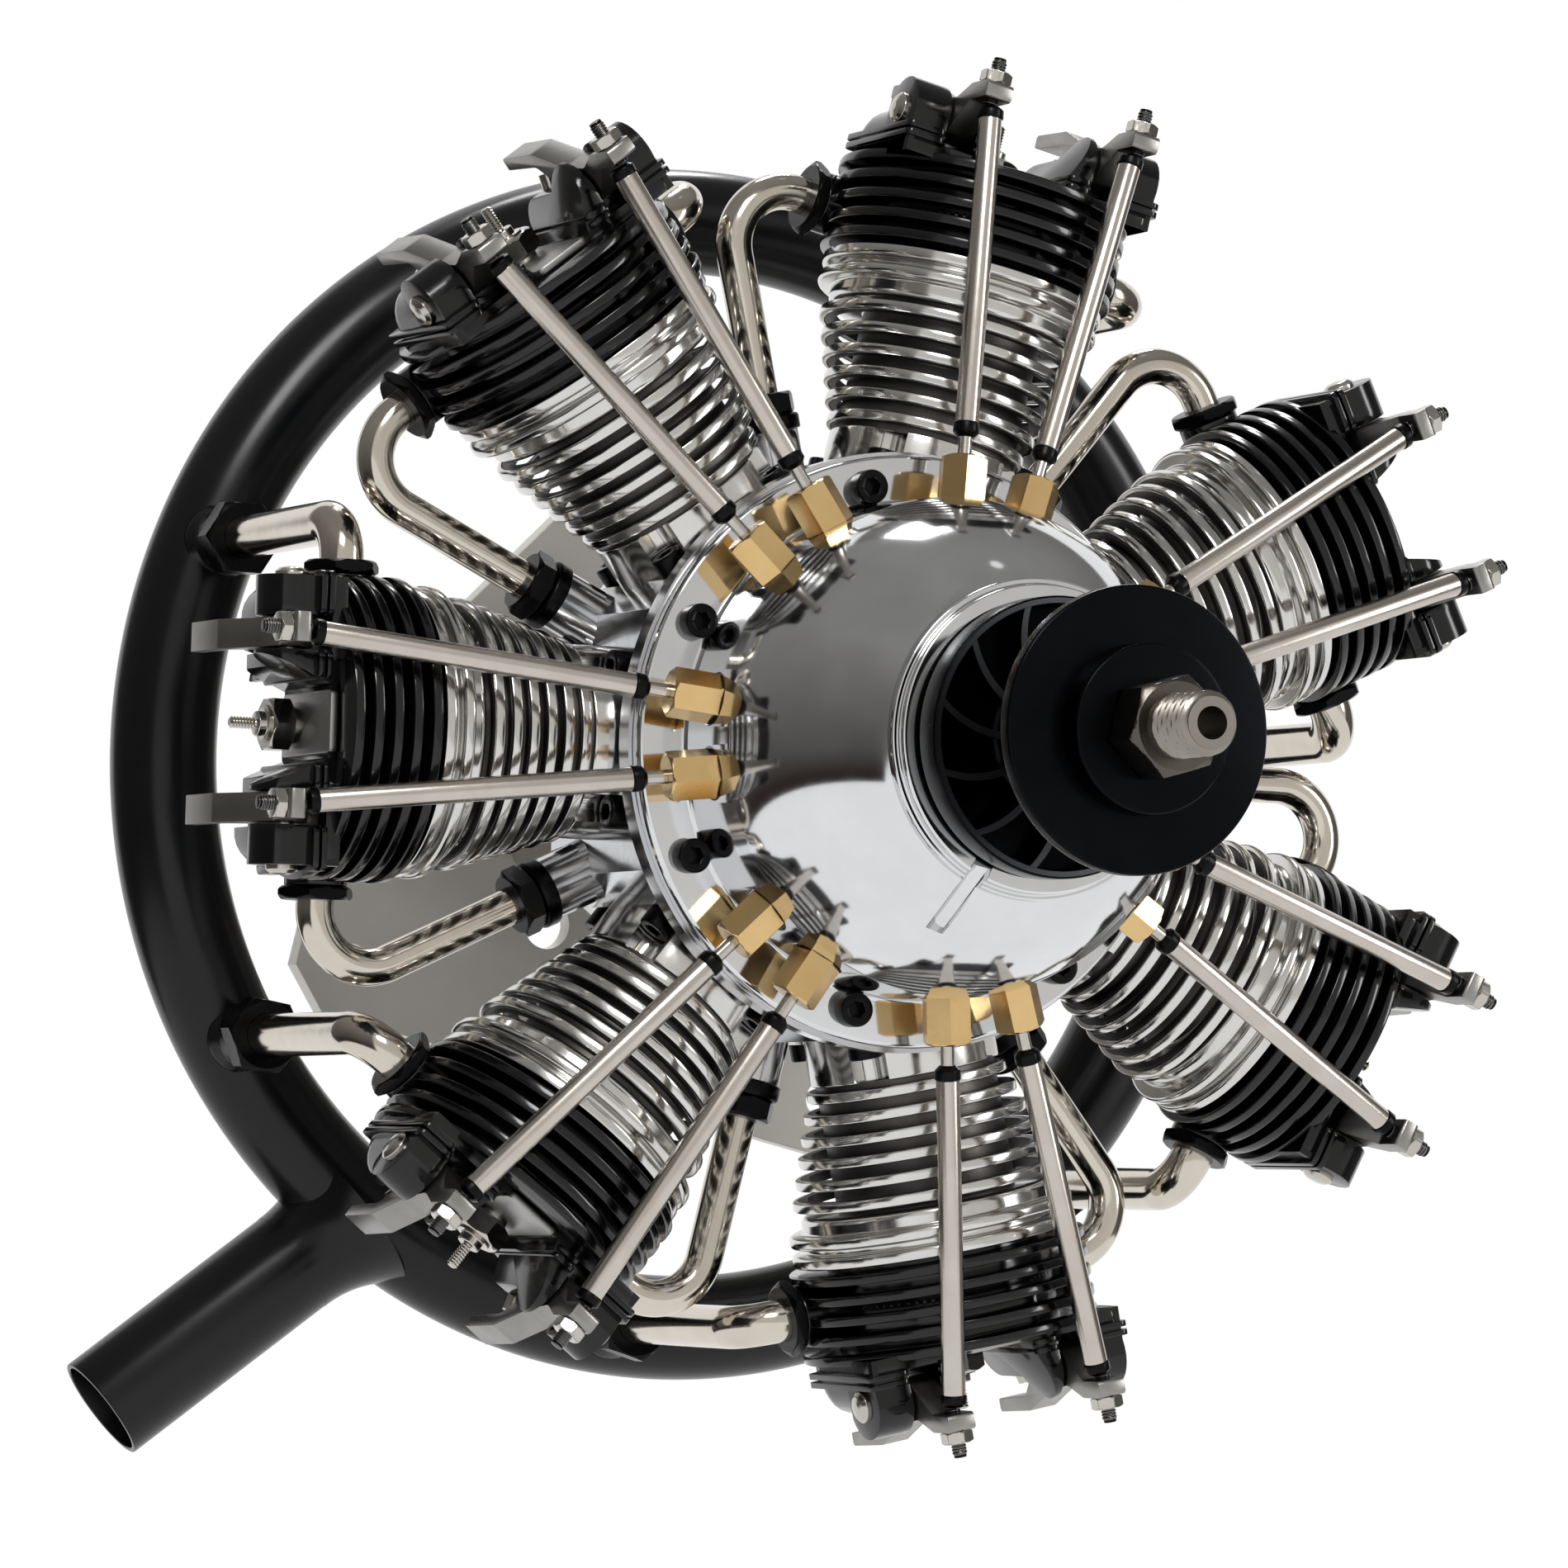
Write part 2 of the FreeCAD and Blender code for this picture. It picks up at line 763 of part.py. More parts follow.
def prop_driver():
    body = turned(
        "prop_driver",
        [
            ("shaft_radius", "-driver_rear"),
            ("driver_rim_radius", "-driver_rear"),
            ("driver_rim_radius", "-driver_rim_front"),
            ("driver_rim_radius - driver_rim_wall", "-driver_rim_front"),
            ("driver_rim_radius - driver_rim_wall", "-driver_floor"),
            ("driver_hub_radius", "-driver_floor"),
            ("driver_hub_radius", "-driver_disc_rear"),
            ("driver_disc_radius", "-driver_disc_rear"),
            ("driver_disc_radius", "-driver_front"),
            ("shaft_radius", "-driver_front"),
        ],
    )
    rib_sketch = new_sketch(body, "XZ_Plane")
    rib_sketch.setExpression("AttachmentOffset.Base.z", bound("driver_floor"))
    inner = "rib_root_radius"
    outer = "driver_rim_radius - driver_rim_wall / 2"
    half_in = f"asin(rib_thick / 2 / ({inner}))"
    half_out = f"asin(rib_thick / 2 / ({outer}))"

    def polar(radius, turn):
        return f"({radius}) * cos({turn})", f"({radius}) * sin({turn})"

    rib = [
        (*polar(outer, f"-{half_out}"),),
        (*polar(outer, half_out), "rib_curve_radius", 1),
        (*polar(inner, f"rib_twist * 1 deg + {half_in}"),),
        (*polar(inner, f"rib_twist * 1 deg - {half_in}"), "rib_curve_radius", -1),
    ]
    draw_outline(rib_sketch, rib)
    pad = body.newObject("PartDesign::Pad", "driver_rib")
    pad.Profile = rib_sketch
    pad.setExpression("Length", bound("driver_rim_front - driver_floor"))
    ribs = body.newObject("PartDesign::PolarPattern", "driver_ribs")
    ribs.Originals = [pad]
    ribs.Axis = (origin_plane(body, "Y_Axis"), [""])
    ribs.Angle = 360
    ribs.setExpression("Occurrences", bound("rib_count"))
    body.Tip = ribs
    return body


def prop_washer():
    front = "-(driver_front + washer_thick)"
    return turned(
        "prop_washer",
        [
            ("shaft_radius", "-driver_front"),
            ("washer_radius", "-driver_front"),
            ("washer_radius", front),
            ("shaft_radius", front),
        ],
    )


def prop_nut():
    start = V(0, -size("driver_front") - size("washer_thick"), 0)
    hexagonal = hexagon("nut_hexagon", start, AHEAD, "nut_half_flats", "nut_thick")
    crown = turned(
        "nut_crown",
        [
            ("shaft_radius", "-driver_front"),
            ("nut_crown_radius", "-driver_front"),
            ("nut_crown_radius", "-(driver_front + washer_thick + nut_thick - nut_crown_height)"),
            ("nut_face_radius", "-(driver_front + washer_thick + nut_thick)"),
            ("shaft_radius", "-(driver_front + washer_thick + nut_thick)"),
        ],
    )
    common = doc.addObject("Part::MultiCommon", "prop_nut")
    common.Label = "prop_nut"
    common.Shapes = [hexagonal, crown]
    return common


def cam_ring():
    front = size("cam_station") + size("cam_width") / 2
    disc = cylinder("cam_disc", V(0, -front + size("cam_width"), 0), AHEAD, "cam_base_radius", "cam_width")
    reach = size("cam_base_radius") + size("cam_lift") - size("cam_lobe_radius")
    lobes = []
    for k in range(CAM_LOBES):
        turn = math.radians(90 + HALF_PITCH / 2 + 360 * k / CAM_LOBES)
        start = V(reach * math.cos(turn), -front + size("cam_width"), reach * math.sin(turn))
        lobes.append(cylinder(f"cam_lobe_{k + 1}", start, AHEAD, "cam_lobe_radius", "cam_width"))
    bore = cylinder("cam_bore", V(0, 0, 0), AHEAD, "journal_radius", "2 * cam_station")
    return cut("cam_ring", joined("cam_outline", disc, *lobes), bore)


# Pieces of one cylinder

def barrel_master():
    steps = [("bore_radius", "spigot_foot"), ("spigot_radius", "spigot_foot"), ("spigot_radius", "case_apothem")]
    steps += [("foot_radius", "case_apothem"), ("foot_radius", "fin_first - fin_thick / 2")]
    steps += [("fin_core_radius", "fin_first - fin_thick / 2")]
    for k in range(BARREL_FINS):
        low = f"fin_first + {k} * fin_pitch"
        steps += [
            ("fin_core_radius", low),
            (f"fin_radius + {k} * fin_growth", low),
            (f"fin_radius + {k} * fin_growth", f"{low} + fin_thick"),
            ("fin_core_radius", f"{low} + fin_thick"),
        ]
    steps += [
        ("fin_core_radius", "collar_foot"),
        ("collar_radius", "collar_foot"),
        ("collar_radius", "band_foot"),
        ("band_radius", "band_foot"),
        ("band_radius", "band_foot + band_thick"),
        ("collar_radius", "band_foot + band_thick"),
        ("collar_radius", "head_seat - band_thick"),
        ("band_radius", "head_seat - band_thick"),
        ("band_radius", "head_seat"),
        ("bore_radius", "head_seat"),
    ]
    tube = turned("barrel_tube", steps, "XZ_Plane")
    tube.Placement.Base.y = AXIS
    foot_corner = V(-size("foot_width") / 2, AXIS - size("foot_depth") / 2, size("case_apothem"))
    foot = primitive(
        "Box",
        "barrel_foot",
        Placement(foot_corner, Rotation()),
        Length="foot_width",
        Width="foot_depth",
        Height="foot_thick",
    )
    bore = cylinder("barrel_bore", V(0, AXIS, 0), UP, "bore_radius", "head_seat")
    reliefs = []
    for k, place in enumerate(foot_screw_places(), start=1):
        height = "fin_first - case_apothem - foot_thick"
        reliefs.append(cylinder(f"barrel_scallop_{k}", place, UP, "scallop_radius", height))
        reliefs.append(screw_hole(f"barrel_screw_hole_{k}", place, UP))
    return cut("barrel", joined("barrel_blank", tube, foot), compound("barrel_cuts", bore, *reliefs))


def box_side(side, inner, outer):
    """The lower X of a block between two distances from the cylinder's axis, on one side."""
    return inner if side > 0 else -outer


def box_fins(side, name):
    """The thin plates that stand out from three sides of a rocker box."""
    inner = size("box_inner")
    outer = size("box_outer") + size("box_fin_reach")
    front = size("box_front") + size("box_fin_reach")
    fins = []
    for k in range(BOX_FINS):
        height = number(BOX_FLOOR) + k * size("box_fin_pitch")
        fins.append(
            primitive(
                "Box",
                f"box_fin_{name}_{k + 1}",
                Placement(V(box_side(side, inner, outer), -front, height), Rotation()),
                Length="box_outer - box_inner + box_fin_reach",
                Width="box_front - box_rear + 2 * box_fin_reach",
                Height="box_fin_thick",
            )
        )
    return fins


def head_master():
    steps = [("0", "head_seat + chamber_height"), ("chamber_radius", "head_seat + chamber_height")]
    steps += [("bore_radius", "head_seat"), ("head_core_radius", "head_seat")]
    for k in range(HEAD_FINS):
        low = f"head_fin_first + {k} * head_fin_pitch"
        steps += [
            ("head_core_radius", low),
            ("head_fin_radius", low),
            ("head_fin_radius", f"{low} + head_fin_thick"),
            ("head_core_radius", f"{low} + head_fin_thick"),
        ]
    steps += [("head_core_radius", "head_top"), ("0", "head_top")]
    dome = turned("head_dome", steps, "XZ_Plane")
    dome.Placement.Base.y = AXIS
    solids = [dome]
    tools = [cylinder("plug_hole", V(0, AXIS, size("head_seat")), UP, "plug_hole_radius", "head_top")]
    half_slot = size("rocker_width") / 2 + size("rocker_side_gap")
    for side, name in ((INTAKE, "intake"), (EXHAUST, "exhaust")):
        low_x = box_side(side, size("box_inner"), size("box_outer"))
        corner = V(low_x, -size("box_front"), size("head_top") - size("box_root"))
        solids.append(
            primitive(
                "Box",
                f"rocker_box_{name}",
                Placement(corner, Rotation()),
                Length="box_outer - box_inner",
                Width="box_front - box_rear",
                Height="box_rise + box_root",
            )
        )
        solids += box_fins(side, name)
        pivot = V(low_x, -size("pivot_station"), number(PIVOT))
        solids.append(cylinder(f"rocker_ear_{name}", pivot, V(1, 0, 0), "ear_radius", "box_outer - box_inner"))
        tools.append(
            cylinder(f"pivot_hole_{name}", pivot, V(1, 0, 0), "pivot_radius + running_gap", "box_outer - box_inner")
        )
        slot_front = size("box_front") + size("slot_margin")
        slot_corner = V(side * size("rocker_spread") - half_slot, -slot_front, number(BOX_FLOOR))
        tools.append(
            primitive(
                "Box",
                f"rocker_slot_{name}",
                Placement(slot_corner, Rotation()),
                Length="rocker_width + 2 * rocker_side_gap",
                Width="box_front - box_rear + 2 * slot_margin",
                Height="2 * ear_radius + box_rise",
            )
        )
        radius = "valve_stem_radius + running_gap"
        tools.append(cylinder(f"valve_hole_{name}", valve_foot(side), valve_direction(side), radius, "head_top"))
        port = port_place(side)
        start = V(side * size("port_boss_root"), port.y, port.z)
        length = "port_face - port_boss_root"
        solids.append(cylinder(f"port_boss_{name}", start, V(side, 0, 0), "port_boss_radius", length))
    return cut("head", joined("head_casting", *solids), compound("head_cuts", *tools))


def port_place(side):
    """The middle of the head's port face on one side."""
    if side == INTAKE:
        return V(-size("port_face"), -size("manifold_plane"), size("intake_port_height"))
    return V(size("port_face"), -size("exhaust_port_station"), ring_boss_place()[1])


def valve_foot(side):
    return V(side * size("valve_foot_spread"), -size("valve_station"), size("head_seat") + size("valve_seat_gap"))


def valve_direction(side):
    top = V(side * size("rocker_spread"), -size("valve_station"), number(VALVE_TOP))
    return (top - valve_foot(side)).normalize()


def valve_master(side, name):
    length = f"sqrt((rocker_spread - valve_foot_spread)^2 + ({VALVE_TOP} - head_seat - valve_seat_gap)^2)"
    return cylinder(f"valve_{name}", valve_foot(side), valve_direction(side), "valve_stem_radius", length)


def rocker_pin_master(side, name):
    low = side * size("box_inner")
    start = V(low, -size("pivot_station"), number(PIVOT))
    pin = cylinder(f"pin_bar_{name}", start, V(side, 0, 0), "pivot_radius", "box_outer - box_inner")
    head_start = V(side * size("box_outer"), -size("pivot_station"), number(PIVOT))
    head = cylinder(f"pin_head_{name}", head_start, V(side, 0, 0), "pin_head_radius", "pin_head_thick")
    return joined(f"rocker_pin_{name}", pin, head)


def rocker_master(side, name):
    """The arm in side view, along Y and Z, with its adjuster and locknut at the rod end."""
    front = "-(rod_top_station + pad_front)"
    arm = padded(
        f"rocker_arm_{name}",
        "YZ_Plane",
        [
            (front, f"{ADJUSTER} + pad_foot"),
            ("-(rod_top_station - pad_rear)", f"{ADJUSTER} + pad_foot"),
            ("-(pivot_station + relief_front)", f"{PIVOT} - relief_front_drop", "relief_radius", 1),
            ("-(pivot_station - relief_rear)", f"{PIVOT} - relief_rear_drop"),
            ("-(valve_station + tail_foot)", f"{VALVE_TOP} + tail_foot_rise"),
            ("-(valve_station - tail_reach)", f"{VALVE_TOP} + tail_under"),
            ("-(valve_station - tail_reach)", f"{VALVE_TOP} + tail_over"),
            ("-(valve_station + tail_root)", f"{VALVE_TOP} + tail_root_rise"),
            ("-(pivot_station - hump_rear)", f"{PIVOT} + hump_rear_rise"),
            ("-(pivot_station + hump_front)", f"{PIVOT} + hump_front_rise"),
            ("-(rod_top_station - pad_shoulder)", f"{ADJUSTER} + pad_top"),
            (front, f"{ADJUSTER} + pad_top"),
        ],
        "rocker_width",
        [("-pivot_station", PIVOT, "pivot_radius + running_gap")],
        both_ways=True,
    )
    arm.Placement.Base.x = side * size("rocker_spread")
    foot = V(side * size("rocker_spread"), -size("rod_top_station"), number(ADJUSTER))
    screw = cylinder(f"adjuster_{name}", foot, UP, "adjuster_radius", "adjuster_length")
    nut_foot = foot + UP * size("pad_top")
    nut = hexagon(f"locknut_{name}", nut_foot, UP, "locknut_half_flats", "locknut_thick")
    return joined(f"rocker_{name}", arm, screw, nut)


def pushrod_master(side, name):
    """Tappet pin, black end, tube and cap on one leaning axis, turned about Z and laid on that axis."""
    lean = rod_direction(side).z
    pin_foot = f"(tappet_inner - rod_foot_height) / {lean}"
    tube_top = f"({ROD_TOP} - rod_foot_height) / {lean}"
    body = turned(
        f"pushrod_{name}",
        [
            ("0", pin_foot),
            ("tappet_radius", pin_foot),
            ("tappet_radius", "-tappet_end_length"),
            ("rod_cap_radius", "-tappet_end_length"),
            ("rod_cap_radius", "0"),
            ("rod_radius", "0"),
            ("rod_radius", tube_top),
            ("rod_cap_radius", tube_top),
            ("rod_cap_radius", f"{tube_top} + rod_cap_length"),
            ("0", f"{tube_top} + rod_cap_length"),
        ],
        "XZ_Plane",
    )
    body.Placement = Placement(rod_foot(side), Rotation(UP, rod_direction(side)))
    return body


def guide_master(side, name):
    along = rod_direction(side)
    seat = on_rod(side, size("guide_seat"))
    length = f"(guide_top - guide_seat) / {along.z}"
    hexagonal = hexagon(f"guide_hexagon_{name}", seat, along, "guide_half_flats", length)
    shank_start = seat - along * size("guide_shank_length")
    shank = cylinder(f"guide_shank_{name}", shank_start, along, "guide_shank_radius", "guide_shank_length")
    bore = cylinder(f"guide_bore_{name}", shank_start, along, "tappet_radius + running_gap * 2", "guide_top")
    return cut(f"guide_{name}", joined(f"guide_blank_{name}", hexagonal, shank), bore)


def glow_plug_master():
    body = turned(
        "plug_body",
        [
            ("0", "plug_foot"),
            ("plug_radius", "plug_foot"),
            ("plug_radius", "plug_hex_foot + plug_hex_thick"),
            ("plug_neck_radius", "plug_hex_foot + plug_hex_thick"),
            ("plug_neck_radius", "plug_neck_top"),
            ("plug_tip_radius", "plug_neck_top"),
            ("plug_tip_radius", "plug_tip_top"),
            ("0", "plug_tip_top"),
        ],
        "XZ_Plane",
    )
    body.Placement.Base.y = AXIS
    hex_foot = V(0, AXIS, size("plug_hex_foot"))
    hexagonal = hexagon("plug_hexagon", hex_foot, UP, "plug_hex_half_flats", "plug_hex_thick")
    return joined("glow_plug", body, hexagonal)


def piston(index):
    """A piston at the height that the crankpin gives it, with the crankpin at the top of cylinder 1."""
    lag = math.radians(360 * index / CYLINDERS)
    throw = size("throw")
    pin_height = throw * math.cos(lag) + math.sqrt(size("rod_length") ** 2 - (throw * math.sin(lag)) ** 2)
    label = f"piston_{index + 1}"
    skirt = "bore_radius - running_gap"
    body = turned(
        label,
        [
            ("0", "crown_above_pin"),
            (skirt, "crown_above_pin"),
            (skirt, "crown_above_pin - piston_length"),
            (f"{skirt} - piston_wall", "crown_above_pin - piston_length"),
            (f"{skirt} - piston_wall", "crown_above_pin - piston_crown"),
            ("0", "crown_above_pin - piston_crown"),
        ],
        "XZ_Plane",
    )
    body.Placement = cylinder_turn(index) * Placement(V(0, AXIS, pin_height), Rotation())
    return body


# Pipes

def bent_pipe(label, start, corner, end, bend_radius, pipe_radius):
    """A pipe of two straight runs and one bend, from its start and end faces and the corner where its runs meet."""
    first = (corner - start).normalize()
    second = (end - corner).normalize()
    turn = first.getAngle(second)
    tangent = size(bend_radius) * math.tan(turn / 2)
    bend_start = corner - first * tangent
    inward = (second - first * first.dot(second)).normalize()
    centre = bend_start + inward * size(bend_radius)
    outward = inward * -1
    bend = primitive(
        "Torus",
        f"{label}_bend",
        Placement(centre, Rotation(outward, first, outward.cross(first), "XYZ")),
        Radius1=bend_radius,
        Radius2=pipe_radius,
    )
    bend.Angle3 = math.degrees(turn)
    bend_end = corner + second * tangent
    runs = [
        cylinder(f"{label}_run_1", start, first, pipe_radius, str((bend_start - start).Length)),
        cylinder(f"{label}_run_2", bend_end, second, pipe_radius, str((end - bend_end).Length)),
    ]
    return joined(label, runs[0], bend, runs[1])


def intake_pipe_master():
    outward = mid_angle_direction()
    level = V(0, -size("manifold_plane"), 0)
    height = size("intake_port_height")
    start = level + outward * size("intake_boss_reach")
    corner = level + outward * (height / outward.z)
    return bent_pipe("intake_pipe", start, corner, port_place(INTAKE), "intake_bend_radius", "intake_radius")


def exhaust_elbow_master():
    across, up = ring_boss_place()
    corner = V(across, -size("exhaust_port_station"), up)
    end = V(across, -size("ring_boss_front"), up)
    return bent_pipe("exhaust_elbow", port_place(EXHAUST), corner, end, "exhaust_bend_radius", "exhaust_radius")


def pipe_nut_masters():
    outward = mid_angle_direction()
    level = V(0, -size("manifold_plane"), 0)
    collar_start = level + outward * size("intake_boss_reach")
    collar = cylinder("intake_collar", collar_start, outward, "intake_collar_radius", "intake_collar_length")
    nut_start = collar_start + outward * size("intake_collar_length")
    intake_nut = hexagon("intake_nut_hexagon", nut_start, outward, "intake_nut_half_flats", "intake_nut_length")
    pipe_way = cylinder("intake_nut_bore", level, outward, "intake_radius + running_gap", "2 * intake_boss_reach")
    nuts = [cut("intake_nut", joined("intake_nut_blank", collar, intake_nut), pipe_way)]
    across, up = ring_boss_place()
    ring_nut_start = V(across, -size("ring_boss_front"), up)
    out = port_place(EXHAUST)
    into = port_place(INTAKE)
    starts = [
        ("ring_nut", ring_nut_start, AHEAD, "exhaust_nut_half_flats", "exhaust_nut_length", "exhaust_radius"),
        ("exhaust_port_nut", out, V(1, 0, 0), "port_nut_half_flats", "port_nut_length", "exhaust_radius"),
        ("intake_port_nut", into, V(-1, 0, 0), "port_nut_half_flats", "port_nut_length", "intake_radius"),
    ]
    for name, start, direction, half_flats, length, pipe_radius in starts:
        blank = hexagon(f"{name}_hexagon", start, direction, half_flats, length)
        way = cylinder(f"{name}_bore", start, direction, f"{pipe_radius} + running_gap", length)
        nuts.append(cut(name, blank, way))
    return nuts


def exhaust_ring():
    middle = V(0, -size("ring_station"), 0)
    level = Placement(middle, Rotation(UP, AHEAD))
    tube = primitive("Torus", "ring_tube", level, Radius1="ring_radius", Radius2="ring_tube_radius")
    across, up = ring_boss_place()
    boss_start = V(across, middle.y, up)
    boss = cylinder("ring_boss", boss_start, AHEAD, "ring_boss_radius", "ring_boss_front - ring_station")
    turn = math.radians(90 + size("stub_turn"))
    start = middle + V(math.cos(turn), 0, math.sin(turn)) * size("ring_radius")
    along = stub_direction()
    stub = cylinder("stub_tube", start, along, "stub_radius", "stub_length")
    hollow_start = start + along * size("ring_tube_radius")
    hollow = cylinder("stub_hollow", hollow_start, along, "stub_radius - stub_wall", "stub_length")
    return cut("exhaust_ring", joined("ring_body", tube, on_each_cylinder("ring_bosses", boss), stub), hollow)


def stub_direction():
    """The way the outlet stub leaves the ring: clockwise of straight outward, and a little to the rear."""
    turn = math.radians(90 + size("stub_turn") - size("stub_lean"))
    rake = math.radians(size("stub_rake"))
    return V(math.cos(turn) * math.cos(rake), math.sin(rake), math.sin(turn) * math.cos(rake))


# Screws

def foot_screw_places():
    """Seats of the four screws on the barrel foot."""
    height = size("case_apothem") + size("foot_thick")
    spread = size("foot_screw_spread")
    offset = size("foot_screw_offset")
    return [V(across, AXIS + along, height) for across in (-spread, spread) for along in (-offset, offset)]


def flange_screw_place():
    """Seat of the front flange's screw between cylinder 1 and cylinder 2."""
    face = size("case_front") + size("case_flange_thick") + size("cover_flange_thick")
    return V(0, -face, 0) + mid_angle_direction() * size("flange_screw_circle")


def screw_hole(label, seat, direction):
    start = seat - direction * (size("screw_shank_length") + size("screw_hole_spare"))
    depth = "screw_shank_length + screw_hole_spare"
    return cylinder(label, start, direction, "screw_shank_radius + running_gap", depth)


def screw_master(label, seat, direction):
    shank_start = seat - direction * size("screw_shank_length")
    shank = cylinder(f"{label}_shank", shank_start, direction, "screw_shank_radius", "screw_shank_length")
    head = cylinder(f"{label}_head", seat, direction, "screw_head_radius", "screw_head_height")
    socket_start = seat + direction * (size("screw_head_height") - size("screw_socket_depth"))
    socket = hexagon(f"{label}_socket", socket_start, direction, "screw_socket_half_flats", "screw_socket_depth")
    return cut(label, joined(f"{label}_blank", shank, head), socket)


def cap_screws():
    masters = [screw_master("flange_screw", flange_screw_place(), AHEAD)]
    for k, place in enumerate(foot_screw_places(), start=1):
        masters.append(screw_master(f"foot_screw_{k}", place, UP))
    return on_each_cylinder("cap_screws", *masters)


# The whole engine

SIDES = ((INTAKE, "intake"), (EXHAUST, "exhaust"))

parts = [
    mount_plate(),
    standoffs(),
    induction_housing(),
    carburettor_body(),
    throttle_barrel(),
    needle_valve(),
    crankcase(),
    front_case(),
    main_bearings(),
    crankshaft(),
    prop_driver(),
    prop_washer(),
    prop_nut(),
    cam_ring(),
    on_each_cylinder("cylinder_barrels", barrel_master()),
    on_each_cylinder("cylinder_heads", head_master()),
    on_each_cylinder("rocker_pins", *[rocker_pin_master(*side) for side in SIDES]),
    on_each_cylinder("valves", *[valve_master(*side) for side in SIDES]),
    on_each_cylinder("glow_plugs", glow_plug_master()),
    on_each_cylinder("intake_pipes", intake_pipe_master()),
    on_each_cylinder("exhaust_elbows", exhaust_elbow_master()),
    on_each_cylinder("pipe_nuts", *pipe_nut_masters()),
    on_each_cylinder("tappet_guides", *[guide_master(*side) for side in SIDES]),
    exhaust_ring(),
    cap_screws(),
]
for side in SIDES:
    rocker = rocker_master(*side)
    pushrod = pushrod_master(*side)
    for index in range(CYLINDERS):
        parts.append(copy_of(rocker, f"rocker_{index + 1}_{side[1]}", index))
        parts.append(copy_of(pushrod, f"pushrod_{index + 1}_{side[1]}", index))
for index in range(CYLINDERS):
    parts.append(piston(index))

doc.recompute()
for item in doc.Objects:
    if "Invalid" in item.State or "Error" in item.State:
        raise RuntimeError(f"{item.Label} failed: {item.State}")

os.makedirs("parts", exist_ok=True)
for part in parts:
    shape = Part.getShape(part)
    if shape.isNull() or not shape.isValid():
        raise RuntimeError(f"{part.Label} has no valid shape")
    shape.exportStep(f"parts/{part.Label}.step")
    print(f"{part.Label}: {len(shape.Solids)} solids, {shape.Volume:.0f} cubic mm")
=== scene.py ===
"""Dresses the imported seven-cylinder radial engine: its castings, fins, valve gear, pipes and fasteners."""
import logging
import math
from dataclasses import dataclass, field
from enum import Enum
from typing import Callable, Iterable, Sequence

import bmesh
import bpy
from mathutils import Matrix, Vector


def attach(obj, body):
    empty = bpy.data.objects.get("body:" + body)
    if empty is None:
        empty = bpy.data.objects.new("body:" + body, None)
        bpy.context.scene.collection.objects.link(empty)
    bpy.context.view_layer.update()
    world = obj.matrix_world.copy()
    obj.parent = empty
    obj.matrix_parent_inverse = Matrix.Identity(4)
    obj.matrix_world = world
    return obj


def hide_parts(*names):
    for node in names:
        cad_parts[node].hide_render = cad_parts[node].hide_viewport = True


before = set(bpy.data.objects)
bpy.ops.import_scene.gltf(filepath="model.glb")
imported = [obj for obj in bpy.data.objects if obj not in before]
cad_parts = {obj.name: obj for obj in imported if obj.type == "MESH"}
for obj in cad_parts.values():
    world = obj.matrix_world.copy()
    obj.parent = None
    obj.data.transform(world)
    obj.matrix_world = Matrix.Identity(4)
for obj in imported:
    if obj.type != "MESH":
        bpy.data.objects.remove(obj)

LOG = logging.getLogger("radial_engine")
MM = 0.001
CYLINDERS = 7
CYLINDER_PLANE = 83.0  # millimetres from the mount plate's rear face to the cylinders' axes
SHARP = math.radians(32)  # an edge that turns by more than this stays sharp
TINY = 1e-6
NUT_FACE = 0.96  # radius of a nut's flat end, as a share of its half flats
NUT_CHAMFER = math.radians(32)

# Faces round a turned piece, by its size in the picture.
CASE_SIDES = 288
DRIVER_SIDES = 160
BARREL_SIDES = 144
FIN_SIDES = 96
NUT_SIDES = 72
BOSS_SIDES = 56
PORT_SIDES = 48
ROD_SIDES = 40

Rule = Callable[[float, float, float], float]
Corner = Sequence[float]


class Side(Enum):
    """The side of cylinder 1 that a rocker, rod or port is on, as its sign along X."""

    INTAKE = -1
    EXHAUST = 1


SIDES = (Side.INTAKE, Side.EXHAUST)

# Frames for the shapes: local Z runs ahead along the crank axis, or up along the axis of cylinder 1.
CRANK = Matrix(((1, 0, 0, 0), (0, 0, -1, 0), (0, 1, 0, 0), (0, 0, 0, 1)))
BORE = Matrix.Translation((0, -CYLINDER_PLANE, 0))
HERE = Matrix.Identity(4)
# A frame for side outlines: local X runs back along the crank axis, Y up and Z to the right.
SIDE_VIEW = Matrix(((0, 0, 1, 0), (1, 0, 0, 0), (0, 1, 0, 0), (0, 0, 0, 1)))

UP = Vector((0, 0, 1))
AHEAD = Vector((0, -1, 0))
RIGHT = Vector((1, 0, 0))
HALF_PITCH = math.pi / CYLINDERS
BETWEEN = Vector((-math.sin(HALF_PITCH), 0, math.cos(HALF_PITCH)))  # outward, half-way from cylinder 1 to 2


def to_cylinder(index: int) -> Matrix:
    """The turn that carries a shape of cylinder 1 to cylinder index + 1."""
    return Matrix.Rotation(-math.tau * index / CYLINDERS, 4, "Y")


def along(start: Vector, direction: Vector) -> Matrix:
    """A frame whose origin is a point and whose Z runs along a direction.

    Args:
        start: The frame's origin, in millimetres.
        direction: The way its Z axis points.

    Returns:
        The frame as a 4 by 4 matrix.
    """
    return Matrix.Translation(start) @ direction.to_track_quat("Z", "Y").to_matrix().to_4x4()


# ---------------------------------------------------------------- node trees


